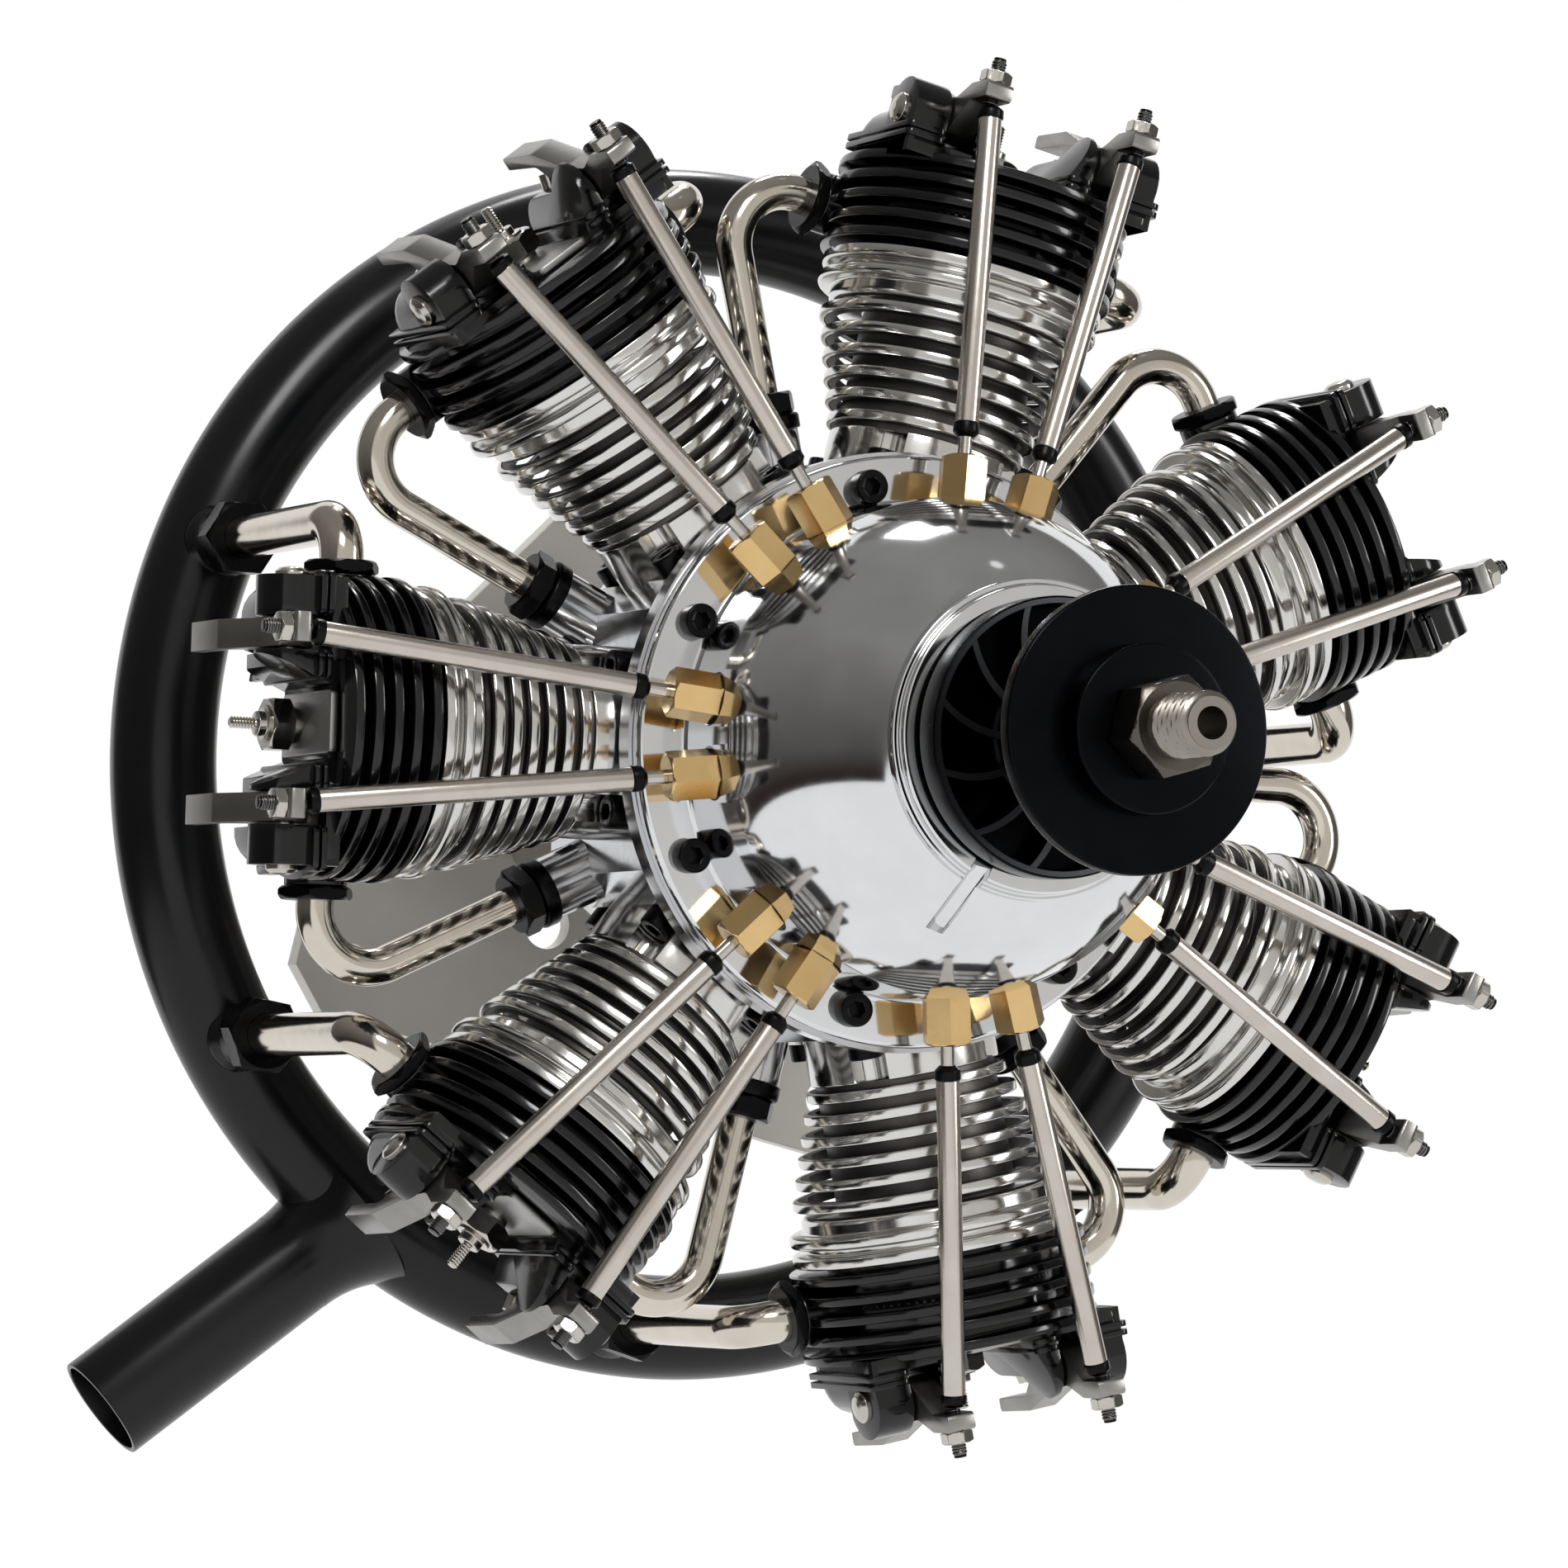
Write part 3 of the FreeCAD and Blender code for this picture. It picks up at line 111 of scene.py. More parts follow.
def add_node(tree: bpy.types.NodeTree, kind: str, links: dict | None = None, **settings: object) -> bpy.types.Node:
    """Adds a node with its settings, and links or fills its inputs.

    Args:
        tree: The tree that gets the node.
        kind: The node's type name.
        links: Input name or number to a socket, or to a plain value.
        settings: Properties of the node itself.

    Returns:
        The new node.
    """
    node = tree.nodes.new(kind)
    for key, value in settings.items():
        setattr(node, key, value)
    for key, source in (links or {}).items():
        if isinstance(source, bpy.types.NodeSocket):
            tree.links.new(source, node.inputs[key])
        else:
            node.inputs[key].default_value = source
    return node


def linear(colour: str) -> tuple[float, float, float, float]:
    """Turns an sRGB hex colour into linear light.

    Args:
        colour: Six hex digits with a leading hash.

    Returns:
        Red, green, blue and an alpha of 1.
    """
    shares = [int(colour[k : k + 2], 16) / 255 for k in (1, 3, 5)]
    return (*[s / 12.92 if s <= 0.04045 else ((s + 0.055) / 1.055) ** 2.4 for s in shares], 1.0)


def noise_scale(size: float) -> float:
    """The scale of a noise or cell texture whose patches are so many millimetres across."""
    return 1 / (size * MM)


def ring_scale(spacing: float) -> float:
    """The scale of a wave texture whose rings or bands are so many millimetres apart."""
    return math.pi / 10 / (spacing * MM)


def combine(tree: bpy.types.NodeTree, operation: str, *values: object) -> bpy.types.NodeSocket:
    """The result of one math node."""
    return add_node(tree, "ShaderNodeMath", dict(enumerate(values)), operation=operation).outputs[0]


def blank_material(name: str) -> bpy.types.Material:
    """A new material with an empty node tree."""
    made = bpy.data.materials.new(name)
    made.use_nodes = True
    made.node_tree.nodes.clear()
    return made


def clouded(name: str, size: float, colours: tuple[str, str], detail: float = 4.0) -> tuple:
    """Starts a material whose tone drifts between two colours.

    Args:
        name: The material's name.
        size: How many millimetres across its patches are.
        colours: The two sRGB colours.
        detail: Octaves of the noise that mixes them.

    Returns:
        The material, and the sockets of its coordinates, cloud and tone.
    """
    made = blank_material(name)
    tree = made.node_tree
    where = add_node(tree, "ShaderNodeTexCoord").outputs["Object"]
    noise = {"Vector": where, "Scale": noise_scale(size), "Detail": detail}
    cloud = add_node(tree, "ShaderNodeTexNoise", noise).outputs[0]
    ends = {6: linear(colours[0]), 7: linear(colours[1])}
    tone = add_node(tree, "ShaderNodeMix", {0: cloud, **ends}, data_type="RGBA").outputs[2]
    return made, where, cloud, tone


# ------------------------------------------------------------------ finishes

METAL_PATCH = 6.0  # millimetres across a patch of even tone on bare metal
COAT_PATCH = 9.0  # and on a coat


class Marks(Enum):
    """What the tool or the coating left on a surface."""

    GRAIN = "grain"  # fine even grain, from blasting, casting or powder
    TURNED = "turned"  # rings about the crank axis, from the lathe
    POLISHED = "polished"  # faint broad waves, from the buffing wheel


@dataclass(frozen=True)
class Metal:
    """A bare or plated metal. It keeps the default index of refraction."""

    name: str
    colour: str
    dull: str
    roughness: float
    spread: float
    marks: Marks = Marks.GRAIN
    spacing: float = 0.6
    depth: float = 0.004
    anisotropy: float = 0.0
    metallic: float = 1.0

    def material(self) -> bpy.types.Material:
        """The finish as a node material, made once."""
        made = bpy.data.materials.get(self.name)
        if made:
            return made
        made, where, cloud, tone = clouded(self.name, METAL_PATCH, (self.colour, self.dull))
        tree = made.node_tree
        if self.marks is Marks.TURNED:
            pattern = add_node(
                tree,
                "ShaderNodeTexWave",
                {
                    "Vector": where,
                    "Scale": ring_scale(self.spacing),
                    "Distortion": 1.5,
                    "Detail": 2.0,
                    "Detail Scale": 0.6,
                },
                wave_type="RINGS",
                rings_direction="Y",
            )
        else:
            pattern = add_node(
                tree, "ShaderNodeTexNoise", {"Vector": where, "Scale": noise_scale(self.spacing), "Detail": 3.0}
            )
        rough = add_node(
            tree,
            "ShaderNodeMapRange",
            {
                0: cloud if self.marks is Marks.TURNED else pattern.outputs[0],
                3: max(0.02, self.roughness - self.spread),
                4: self.roughness + self.spread,
            },
        )
        bump = add_node(
            tree, "ShaderNodeBump", {"Strength": 0.35, "Distance": self.depth * MM, "Height": pattern.outputs[0]}
        )
        shader = add_node(
            tree,
            "ShaderNodeBsdfPrincipled",
            {
                "Base Color": tone,
                "Metallic": self.metallic,
                "Roughness": rough.outputs[0],
                "Anisotropic": self.anisotropy,
                "Normal": bump.outputs[0],
            },
        )
        add_node(tree, "ShaderNodeOutputMaterial", {"Surface": shader.outputs[0]})
        return made


@dataclass(frozen=True)
class Coat:
    """A paint, powder or anodic film over metal."""

    name: str
    colour: str
    wear_and_sheen: str
    roughness: float
    spread: float
    grain: float = 0.35
    depth: float = 0.006
    gloss: float = 0.0
    shine: float = 0.5

    def material(self) -> bpy.types.Material:
        """The finish as a node material, made once."""
        made = bpy.data.materials.get(self.name)
        if made:
            return made
        made, where, cloud, tone = clouded(self.name, COAT_PATCH, (self.colour, self.wear_and_sheen))
        tree = made.node_tree
        skin = add_node(tree, "ShaderNodeTexNoise", {"Vector": where, "Scale": noise_scale(self.grain), "Detail": 2.0})
        rough = add_node(
            tree, "ShaderNodeMapRange", {0: cloud, 3: self.roughness - self.spread, 4: self.roughness + self.spread}
        )
        bump = add_node(
            tree, "ShaderNodeBump", {"Strength": 0.4, "Distance": self.depth * MM, "Height": skin.outputs[0]}
        )
        shader = add_node(
            tree,
            "ShaderNodeBsdfPrincipled",
            {
                "Base Color": tone,
                "Roughness": rough.outputs[0],
                "IOR": 1.5,
                "Specular IOR Level": self.shine,
                "Coat Weight": self.gloss,
                "Coat Roughness": 0.08,
                "Normal": bump.outputs[0],
            },
        )
        add_node(tree, "ShaderNodeOutputMaterial", {"Surface": shader.outputs[0]})
        return made


Finish = Metal | Coat

# Aluminium buffed to a mirror: the nose throws back the white table below and the dark room above.
MIRROR_ALUMINIUM = Metal("mirror_polished_aluminium", "#dfe0e1", "#d3d4d6", 0.085, 0.025, Marks.POLISHED, 2.5, 0.004)
# The crankcase, polished by hand: reflections stay, a little blurred.
CASE_ALUMINIUM = Metal("hand_polished_aluminium", "#d9dadc", "#c9cacd", 0.17, 0.05, Marks.POLISHED, 1.4, 0.008)
# Fins turned on a lathe, then buffed: bright rims; the dark gaps between them are painted shade, on the fin roots.
FIN_ALUMINIUM = Metal("turned_and_buffed_aluminium", "#dddcda", "#c6c4c1", 0.15, 0.05, Marks.POLISHED, 0.9, 0.006)
# The sides and roots of the fins: duller than the rims, as the tool left them, and darker in colour as painted shade in
# the gaps between the bright rims.
FIN_ROOT_PAINTED_SHADE = Metal("unpolished_fin_root", "#6d6966", "#4a4745", 0.42, 0.08, Marks.GRAIN, 0.5, 0.01)
# The machined seat about each glow plug: flat, light and satin.
SEAT_ALUMINIUM = Metal("machined_plug_seat", "#b7b6b4", "#9d9c9b", 0.38, 0.06, Marks.GRAIN, 0.4, 0.01)
# Aluminium sheet with a brushed, clear-anodised face: the film scatters light, so it is a warm even grey.
PLATE_ALUMINIUM = Metal(
    "satin_aluminium_plate", "#dad6cf", "#cfcbc4", 0.46, 0.06, Marks.GRAIN, 0.25, 0.01, metallic=0.45
)
# Aluminium as it comes from the mould, blasted: grainy and dull.
CAST_ALUMINIUM = Metal("blasted_cast_aluminium", "#b9babc", "#a6a7aa", 0.48, 0.07, Marks.GRAIN, 0.5, 0.03)
# Stainless tube, polished and slightly warm from the bending heat.
PIPE_STAINLESS = Metal("polished_stainless_tube", "#d6cfc4", "#c6beb2", 0.13, 0.05, Marks.POLISHED, 1.6, 0.006)
# Stainless rod, ground along its length: satin, with soft streaks.
ROD_STAINLESS = Metal("ground_stainless_rod", "#cfc8c0", "#bbb3ab", 0.24, 0.06, Marks.GRAIN, 0.5, 0.008)
# Bright steel of nuts and pins.
BRIGHT_STEEL = Metal("bright_steel", "#cbc7c0", "#b3aea6", 0.2, 0.06, Marks.GRAIN, 0.4, 0.008)
# Steel of the rockers, tumbled and left bare: a soft mid grey.
ROCKER_STEEL = Metal("tumbled_rocker_steel", "#a3a19d", "#858380", 0.34, 0.07, Marks.GRAIN, 0.4, 0.015)
# Shaft steel with a worn phosphate coat.
SHAFT_STEEL = Metal("phosphated_shaft_steel", "#a29d95", "#827d76", 0.32, 0.08, Marks.TURNED, 0.5, 0.01)
# Blackened steel of cap screws, nuts and rod ends.
BLACK_OXIDE = Metal("black_oxide_steel", "#232324", "#161617", 0.3, 0.08, Marks.GRAIN, 0.3, 0.01)
# Brass hexagon bar, machined.
BRASS = Metal("machined_brass", "#e2c490", "#cfab70", 0.21, 0.06, Marks.GRAIN, 0.5, 0.008)
# Gloss black enamel baked on the cast heads: sharp white lights on black.
HEAD_ENAMEL = Coat("black_enamel_on_casting", "#040405", "#08080a", 0.17, 0.05, 0.9, 0.02, 0.25, 0.32)
# Satin black powder coat of the exhaust ring.
RING_COAT = Coat("satin_black_powder_coat", "#08090b", "#0d0e10", 0.24, 0.05, 0.3, 0.012, 0.0, 0.3)
# Black anodised aluminium of the propeller driver: a dark metal sheen over turning marks.
BLACK_ANODISED = Metal("black_anodised_aluminium", "#17181b", "#0e0f11", 0.27, 0.05, Marks.TURNED, 0.35, 0.006, 0.4)
# Steel of the propeller nut, blued in oil and handled since: a brownish dark grey.
BLUED_STEEL = Metal("oil_blued_steel", "#6b665f", "#4c4844", 0.3, 0.08, Marks.GRAIN, 0.4, 0.012)
# Edges of the driver, lighter than the black film round them: a thin dark silver band, a painted highlight along the
# ribs' and the rim's front edges.
ANODISED_EDGE_PAINTED_HIGHLIGHT = Metal("worn_anodised_edge", "#6a6c70", "#4b4d51", 0.33, 0.06, Marks.TURNED, 0.35, 0.006)


# -------------------------------------------------------------------- shapes


@dataclass
class Shell:
    """Closed faces over points in millimetres, with one finish."""

    points: list[Vector]
    faces: list[tuple[int, ...]]
    finish: Finish

    def moved(self, place: Matrix) -> "Shell":
        """A copy of the shell carried by a frame."""
        return Shell([place @ point for point in self.points], self.faces, self.finish)


def soften(corners: Sequence[Corner], steps: int = 4, closed: bool = True) -> list[tuple[float, float]]:
    """Rounds the corners of an outline or of a half profile.

    Args:
        corners: (across, up) or (across, up, radius) of each corner.
        steps: Faces in each rounded corner.
        closed: Whether the last corner leads back to the first.

    Returns:
        The points of the softened line.
    """
    line: list[tuple[float, float]] = []
    count = len(corners)
    for k, corner in enumerate(corners):
        here = Vector(corner[:2])
        if len(corner) < 3 or (not closed and k in (0, count - 1)):
            line.append((here.x, here.y))
            continue
        before, after = Vector(corners[k - 1][:2]) - here, Vector(corners[(k + 1) % count][:2]) - here
        half = before.angle(after) / 2
        if half < 0.02 or half > math.pi / 2 - 0.01:
            line.append((here.x, here.y))
            continue
        reach = min(corner[2] / math.tan(half), 0.49 * before.length, 0.49 * after.length)
        radius = reach * math.tan(half)
        middle = here + (before.normalized() + after.normalized()).normalized() * (radius / math.sin(half))
        first = here + before.normalized() * reach - middle
        turn = first.angle_signed(here + after.normalized() * reach - middle)
        for step in range(steps + 1):
            spoke = Matrix.Rotation(-turn * step / steps, 2) @ first
            line.append((middle.x + spoke.x, middle.y + spoke.y))
    return line


def arc(start: tuple[float, float], end: tuple[float, float], radius: float, steps: int) -> list[tuple[float, float]]:
    """Points of a bulging arc between two points, with its centre on the left of the way.

    Args:
        start: First point.
        end: Last point.
        radius: Radius of the arc.
        steps: Number of runs.

    Returns:
        The points, both ends included.
    """
    first, last = Vector(start), Vector(end)
    chord = last - first
    normal = Vector((-chord.y, chord.x)).normalized()
    middle = (first + last) / 2 + normal * math.sqrt(radius**2 - (chord.length / 2) ** 2)
    low = math.atan2(first.y - middle.y, first.x - middle.x)
    high = math.atan2(last.y - middle.y, last.x - middle.x)
    turns = [low + (high - low) * step / steps for step in range(steps + 1)]
    return [(middle.x + radius * math.cos(turn), middle.y + radius * math.sin(turn)) for turn in turns]


def hexagon_radius(half_flats: float, turn: float) -> float:
    """How far a hexagon reaches from its centre at a turn."""
    return half_flats / math.cos((turn + math.pi / 6) % (math.pi / 3) - math.pi / 6)


def lathe(
    profile: Sequence[Sequence[float]],
    place: Matrix,
    finish: Finish,
    sides: int = 96,
    closed: bool = False,
    rule: Rule | None = None,
) -> Shell:
    """Turns a half profile about the Z axis of a frame.

    Args:
        profile: (radius, height) of each point, counter-clockwise round the solid.
        place: The frame.
        finish: The shell's finish.
        sides: Faces round the axis.
        closed: Whether the profile is a loop clear of the axis.
        rule: Gives the radius from (radius, height, turn), for shapes that aren't round.

    Returns:
        The turned shell.
    """
    points: list[Vector] = []
    rows: list[list[int]] = []
    for radius, height in profile:
        if radius < TINY:
            rows.append([len(points)])
            points.append(place @ Vector((0, 0, height)))
            continue
        row = []
        for k in range(sides):
            turn = math.tau * k / sides
            reach = rule(radius, height, turn) if rule else radius
            row.append(len(points))
            points.append(place @ Vector((reach * math.cos(turn), reach * math.sin(turn), height)))
        rows.append(row)
    faces: list[tuple[int, ...]] = []
    pairs = list(zip(rows, rows[1:])) + ([(rows[-1], rows[0])] if closed else [])
    for low, high in pairs:
        for k in range(sides):
            after = (k + 1) % sides
            if len(low) == 1 and len(high) == 1:
                continue
            if len(low) == 1:
                faces.append((low[0], high[after], high[k]))
            elif len(high) == 1:
                faces.append((low[k], low[after], high[0]))
            else:
                faces.append((low[k], low[after], high[after], high[k]))
    return Shell(points, faces, finish)


def slab(outline: Sequence[tuple[float, float]], low: float, high: float, place: Matrix, finish: Finish) -> Shell:
    """A flat piece cut from an outline.

    Args:
        outline: Points in the frame's X and Y, counter-clockwise.
        low: Height of the lower face.
        high: Height of the upper face.
        place: The frame.
        finish: The shell's finish.

    Returns:
        The closed shell.
    """
    count = len(outline)
    points = [place @ Vector((x, y, z)) for z in (low, high) for x, y in outline]
    faces: list[tuple[int, ...]] = [tuple(reversed(range(count))), tuple(range(count, 2 * count))]
    faces += [(k, (k + 1) % count, count + (k + 1) % count, count + k) for k in range(count)]
    return Shell(points, faces, finish)


def loft(sections: Sequence[Sequence[Vector]], finish: Finish) -> Shell:
    """A solid skinned over closed sections that have the same number of points.

    Args:
        sections: The sections in order, in millimetres.
        finish: The shell's finish.

    Returns:
        The closed shell.
    """
    count = len(sections[0])
    points = [point for section in sections for point in section]
    faces: list[tuple[int, ...]] = [tuple(reversed(range(count)))]
    faces.append(tuple(range(len(points) - count, len(points))))
    for row in range(len(sections) - 1):
        base = row * count
        for k in range(count):
            after = (k + 1) % count
            faces.append((base + k, base + after, base + count + after, base + count + k))
    return Shell(points, faces, finish)


def block(low: Corner, high: Corner, radius: float, place: Matrix, finish: Finish) -> Shell:
    """A block between two corners, with its upright edges rounded."""
    corners = [(low[0], low[1]), (high[0], low[1]), (high[0], high[1]), (low[0], high[1])]
    outline = soften([(*corner, radius) for corner in corners]) if radius else corners
    return slab(outline, low[2], high[2], place, finish)


def nut(half_flats: float, length: float, bore: float, place: Matrix, finish: Finish) -> Shell:
    """A hexagonal nut with its corners turned down.

    Args:
        half_flats: Half of the width across flats.
        length: Height of the nut.
        bore: Radius of its hole, or 0 for none.
        place: A frame with Z along its axis, at its lower face.
        finish: The shell's finish.

    Returns:
        The closed shell.
    """
    face, corner = half_flats * NUT_FACE, half_flats / math.cos(math.pi / 6)
    fall, steps = (corner - face) * math.tan(NUT_CHAMFER), 4
    ramp = [(face + (corner - face) * k / steps, fall * k / steps) for k in range(steps + 1)]
    inner = bore if bore else 0.0
    profile = [(inner, 0.0), *ramp, *[(radius, length - height) for radius, height in reversed(ramp)], (inner, length)]

    def reach(radius: float, height: float, turn: float) -> float:
        return radius if radius <= inner + TINY else min(radius, hexagon_radius(half_flats, turn))

    return lathe(profile, place, finish, NUT_SIDES, closed=bool(bore), rule=reach)


def bevel_edges(work: bmesh.types.BMesh, width: float) -> None:
    """Bevels the sharp edges of a mesh, to a width in millimetres."""
    edges = [edge for edge in work.edges if len(edge.link_faces) == 2 and edge.calc_face_angle(0) > SHARP]
    bmesh.ops.bevel(
        work, geom=edges, offset=width * MM, offset_type="OFFSET", segments=2, profile=0.5, affect="EDGES",
        clamp_overlap=True,
    )


def piece(name: str, shells: Iterable[Shell], bevel: float = 0.0) -> bpy.types.Object:
    """Makes one object of several shells, with a material for each of their finishes.

    Args:
        name: The object's name.
        shells: Closed shells in millimetres.
        bevel: Width of the bevel on sharp edges, in millimetres, or 0.

    Returns:
        The object, at the origin, with its place in its mesh.
    """
    points: list[Vector] = []
    faces: list[tuple[int, ...]] = []
    finishes: list[Finish] = []
    owners: list[int] = []
    for shell in shells:
        if shell.finish not in finishes:
            finishes.append(shell.finish)
        base = len(points)
        points += [point * MM for point in shell.points]
        faces += [tuple(base + k for k in face) for face in shell.faces]
        owners += [finishes.index(shell.finish)] * len(shell.faces)
    mesh = bpy.data.meshes.new(name)
    mesh.from_pydata(points, [], faces)
    for finish in finishes:
        mesh.materials.append(finish.material())
    mesh.polygons.foreach_set("material_index", owners)
    work = bmesh.new()
    work.from_mesh(mesh)
    bmesh.ops.remove_doubles(work, verts=work.verts, dist=1e-7)
    bmesh.ops.recalc_face_normals(work, faces=work.faces)
    if bevel:
        bevel_edges(work, bevel)
    work.to_mesh(mesh)
    work.free()
    return shown(name, mesh)


def linked(name: str, data: bpy.types.ID) -> bpy.types.Object:
    """Puts a mesh, a lamp or a camera in the scene as an object."""
    made = bpy.data.objects.new(name, data)
    bpy.context.scene.collection.objects.link(made)
    return made


def shade(mesh: bpy.types.Mesh) -> None:
    """Makes a mesh smooth but for its sharp edges."""
    mesh.polygons.foreach_set("use_smooth", [True] * len(mesh.polygons))
    mesh.set_sharp_from_angle(angle=SHARP)


def shown(name: str, mesh: bpy.types.Mesh) -> bpy.types.Object:
    """Shades a mesh and puts it in the scene."""
    shade(mesh)
    return linked(name, mesh)


def flattened(made: bpy.types.Object) -> bpy.types.Mesh:
    """The plain mesh that an object's modifiers give."""
    graph = bpy.context.evaluated_depsgraph_get()
    return bpy.data.meshes.new_from_object(made.evaluated_get(graph), depsgraph=graph)


def single_mesh(name: str, shells: Sequence[Shell], bevel: float = 0.0) -> bpy.types.Mesh:
    """The mesh of a piece that only a recipe needs."""
    single = piece(name + "_single", shells, bevel)
    mesh = single.data
    bpy.data.objects.remove(single)
    return mesh


def carve(made: bpy.types.Object, cutters: Sequence[Shell]) -> bpy.types.Object:
    """Cuts closed shells out of a piece.

    Args:
        made: The piece.
        cutters: The shells to take away.

    Returns:
        The same piece, with the cuts in its mesh.
    """
    tool = piece(made.name + "_cutter", cutters)
    modifier = made.modifiers.new("cut", "BOOLEAN")
    modifier.operation, modifier.solver, modifier.object = "DIFFERENCE", "EXACT", tool
    mesh = flattened(made)
    made.modifiers.clear()
    bpy.data.objects.remove(tool)
    finish = made.data.materials[0]
    mesh.materials.clear()
    mesh.materials.append(finish)
    mesh.polygons.foreach_set("material_index", [0] * len(mesh.polygons))
    shade(mesh)
    made.data = mesh
    return made


def settle(made: bpy.types.Object, body: str, slot: str, *nodes: str) -> bpy.types.Object:
    """Puts a finished piece on its body and hides the CAD nodes that it stands for.

    Args:
        made: The piece.
        body: Name of the body it rides on.
        slot: Not used.
        nodes: CAD nodes that it replaces, if any.

    Returns:
        The same piece.
    """
    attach(made, body)
    if nodes:
        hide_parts(*nodes)
    LOG.info("%s on %s: %d faces", made.name, body, len(made.data.polygons))
    return made


def dress(node: str, finish: Finish) -> None:
    """Gives a CAD node that stays its finish."""
    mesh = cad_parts[node].data
    mesh.materials.clear()
    mesh.materials.append(finish.material())
    LOG.info("%s keeps its shape", node)


def smooth_copy(name: str, node: str, finish: Finish, bevel: float) -> bpy.types.Object:
    """A merged, smooth and bevelled copy of a CAD node.

    Args:
        name: Name of the new object.
        node: The CAD node.
        finish: Its finish.
        bevel: Width of the bevel on sharp edges, in millimetres, or 0.

    Returns:
        The copy.
    """
    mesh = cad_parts[node].data.copy()
    mesh.name = name
    work = bmesh.new()
    work.from_mesh(mesh)
    bmesh.ops.remove_doubles(work, verts=work.verts, dist=2e-6)
    bmesh.ops.dissolve_degenerate(work, edges=work.edges, dist=1e-6)
    bmesh.ops.dissolve_limit(work, angle_limit=math.radians(1), verts=work.verts, edges=work.edges)
    if bevel:
        bevel_edges(work, bevel)
    work.to_mesh(mesh)
    work.free()
    mesh.materials.clear()
    mesh.materials.append(finish.material())
    made = shown(name, mesh)
    flats = made.modifiers.new("flats", "WEIGHTED_NORMAL")
    flats.mode, flats.weight, flats.keep_sharp = "FACE_AREA", 100, True
    made.data = flattened(made)
    made.modifiers.clear()
    return made


# ---------------------------------------------------------- geometry recipes


class Recipe:
    """A geometry node tree with named inputs, run on a mesh to give a plain mesh."""

    def __init__(self, name: str, inputs: dict[str, str]) -> None:
        """Starts a tree.

        Args:
            name: The tree's name.
            inputs: Name of each input to its socket type, without the common first part.
        """
        self.tree = bpy.data.node_groups.new(name, "GeometryNodeTree")
        self.sockets: dict[str, str] = {}
        self.tree.interface.new_socket("Geometry", in_out="INPUT", socket_type="NodeSocketGeometry")
        for title, kind in {**inputs, "Finish": "Material"}.items():
            made = self.tree.interface.new_socket(title, in_out="INPUT", socket_type="NodeSocket" + kind)
            self.sockets[title] = made.identifier
        self.tree.interface.new_socket("Geometry", in_out="OUTPUT", socket_type="NodeSocketGeometry")
        self.entry = add_node(self.tree, "NodeGroupInput").outputs

    def add(self, kind: str, links: dict | None = None, **settings: object) -> bpy.types.NodeOutputs:
        """Adds a node and gives its outputs."""
        return add_node(self.tree, kind, links, **settings).outputs

    def round_crank(self, geometry: bpy.types.NodeSocket, count: bpy.types.NodeSocket) -> bpy.types.NodeSocket:
        """Repeats a shape evenly round the crank axis, inside the tree."""
        spots = self.add("GeometryNodePoints", {"Count": count})
        step = combine(self.tree, "DIVIDE", -math.tau, count)
        turn = combine(self.tree, "MULTIPLY", self.add("GeometryNodeInputIndex")[0], step)
        euler = self.add("ShaderNodeCombineXYZ", {"Y": turn})
        rotation = self.add("FunctionNodeEulerToRotation", {0: euler[0]})
        links = {"Points": spots[0], "Instance": geometry, "Rotation": rotation[0]}
        return self.add("GeometryNodeInstanceOnPoints", links)[0]

    def close(self, geometry: bpy.types.NodeSocket) -> "Recipe":
        """Ends the tree with real geometry and its finish."""
        real = self.add("GeometryNodeRealizeInstances", {0: geometry})
        dressed = self.add("GeometryNodeSetMaterial", {"Geometry": real[0], "Material": self.entry["Finish"]})
        add_node(self.tree, "NodeGroupOutput", {0: dressed[0]})
        return self

    def run(self, name: str, base: bpy.types.Mesh, finish: Finish, **amounts: object) -> bpy.types.Object:
        """Runs the tree on a mesh.

        Args:
            name: Name of the piece.
            base: The mesh that goes in.
            finish: The finish of what comes out.
            amounts: Value of each named input, with _ for a space.

        Returns:
            The piece as a plain mesh object.
        """
        helper = linked(name + "_seed", base)
        modifier = helper.modifiers.new(self.tree.name, "NODES")
        modifier.node_group = self.tree
        modifier[self.sockets["Finish"]] = finish.material()
        for title, amount in amounts.items():
            modifier[self.sockets[title.replace("_", " ")]] = amount
        mesh = flattened(helper)
        mesh.name = name
        bpy.data.objects.remove(helper)
        return shown(name, mesh)


def fins_recipe() -> Recipe:
    """Stacks one fin up a cylinder, each a little wider, and repeats the stack round the crank."""
    recipe = Recipe(
        "cooling_fins",
        {"Fins": "Int", "First": "Float", "Pitch": "Float", "Growth": "Float", "Station": "Float", "Cylinders": "Int"},
    )
    entry = recipe.entry
    spots = recipe.add("GeometryNodePoints", {"Count": entry["Fins"]})
    index = recipe.add("GeometryNodeInputIndex")[0]
    rise = combine(recipe.tree, "MULTIPLY_ADD", index, entry["Pitch"], entry["First"])
    place = recipe.add("ShaderNodeCombineXYZ", {"Y": entry["Station"], "Z": rise})
    wider = combine(recipe.tree, "MULTIPLY_ADD", index, entry["Growth"], 1.0)
    scale = recipe.add("ShaderNodeCombineXYZ", {"X": wider, "Y": wider, "Z": 1.0})
    placed = recipe.add("GeometryNodeSetPosition", {"Geometry": spots[0], "Position": place[0]})
    stack = recipe.add(
        "GeometryNodeInstanceOnPoints", {"Points": placed[0], "Instance": entry["Geometry"], "Scale": scale[0]}
    )
    return recipe.close(recipe.round_crank(stack[0], entry["Cylinders"]))


def circle_recipe() -> Recipe:
    """Repeats a shape evenly round the crank axis."""
    recipe = Recipe("round_the_crank", {"Count": "Int"})
    return recipe.close(recipe.round_crank(recipe.entry["Geometry"], recipe.entry["Count"]))


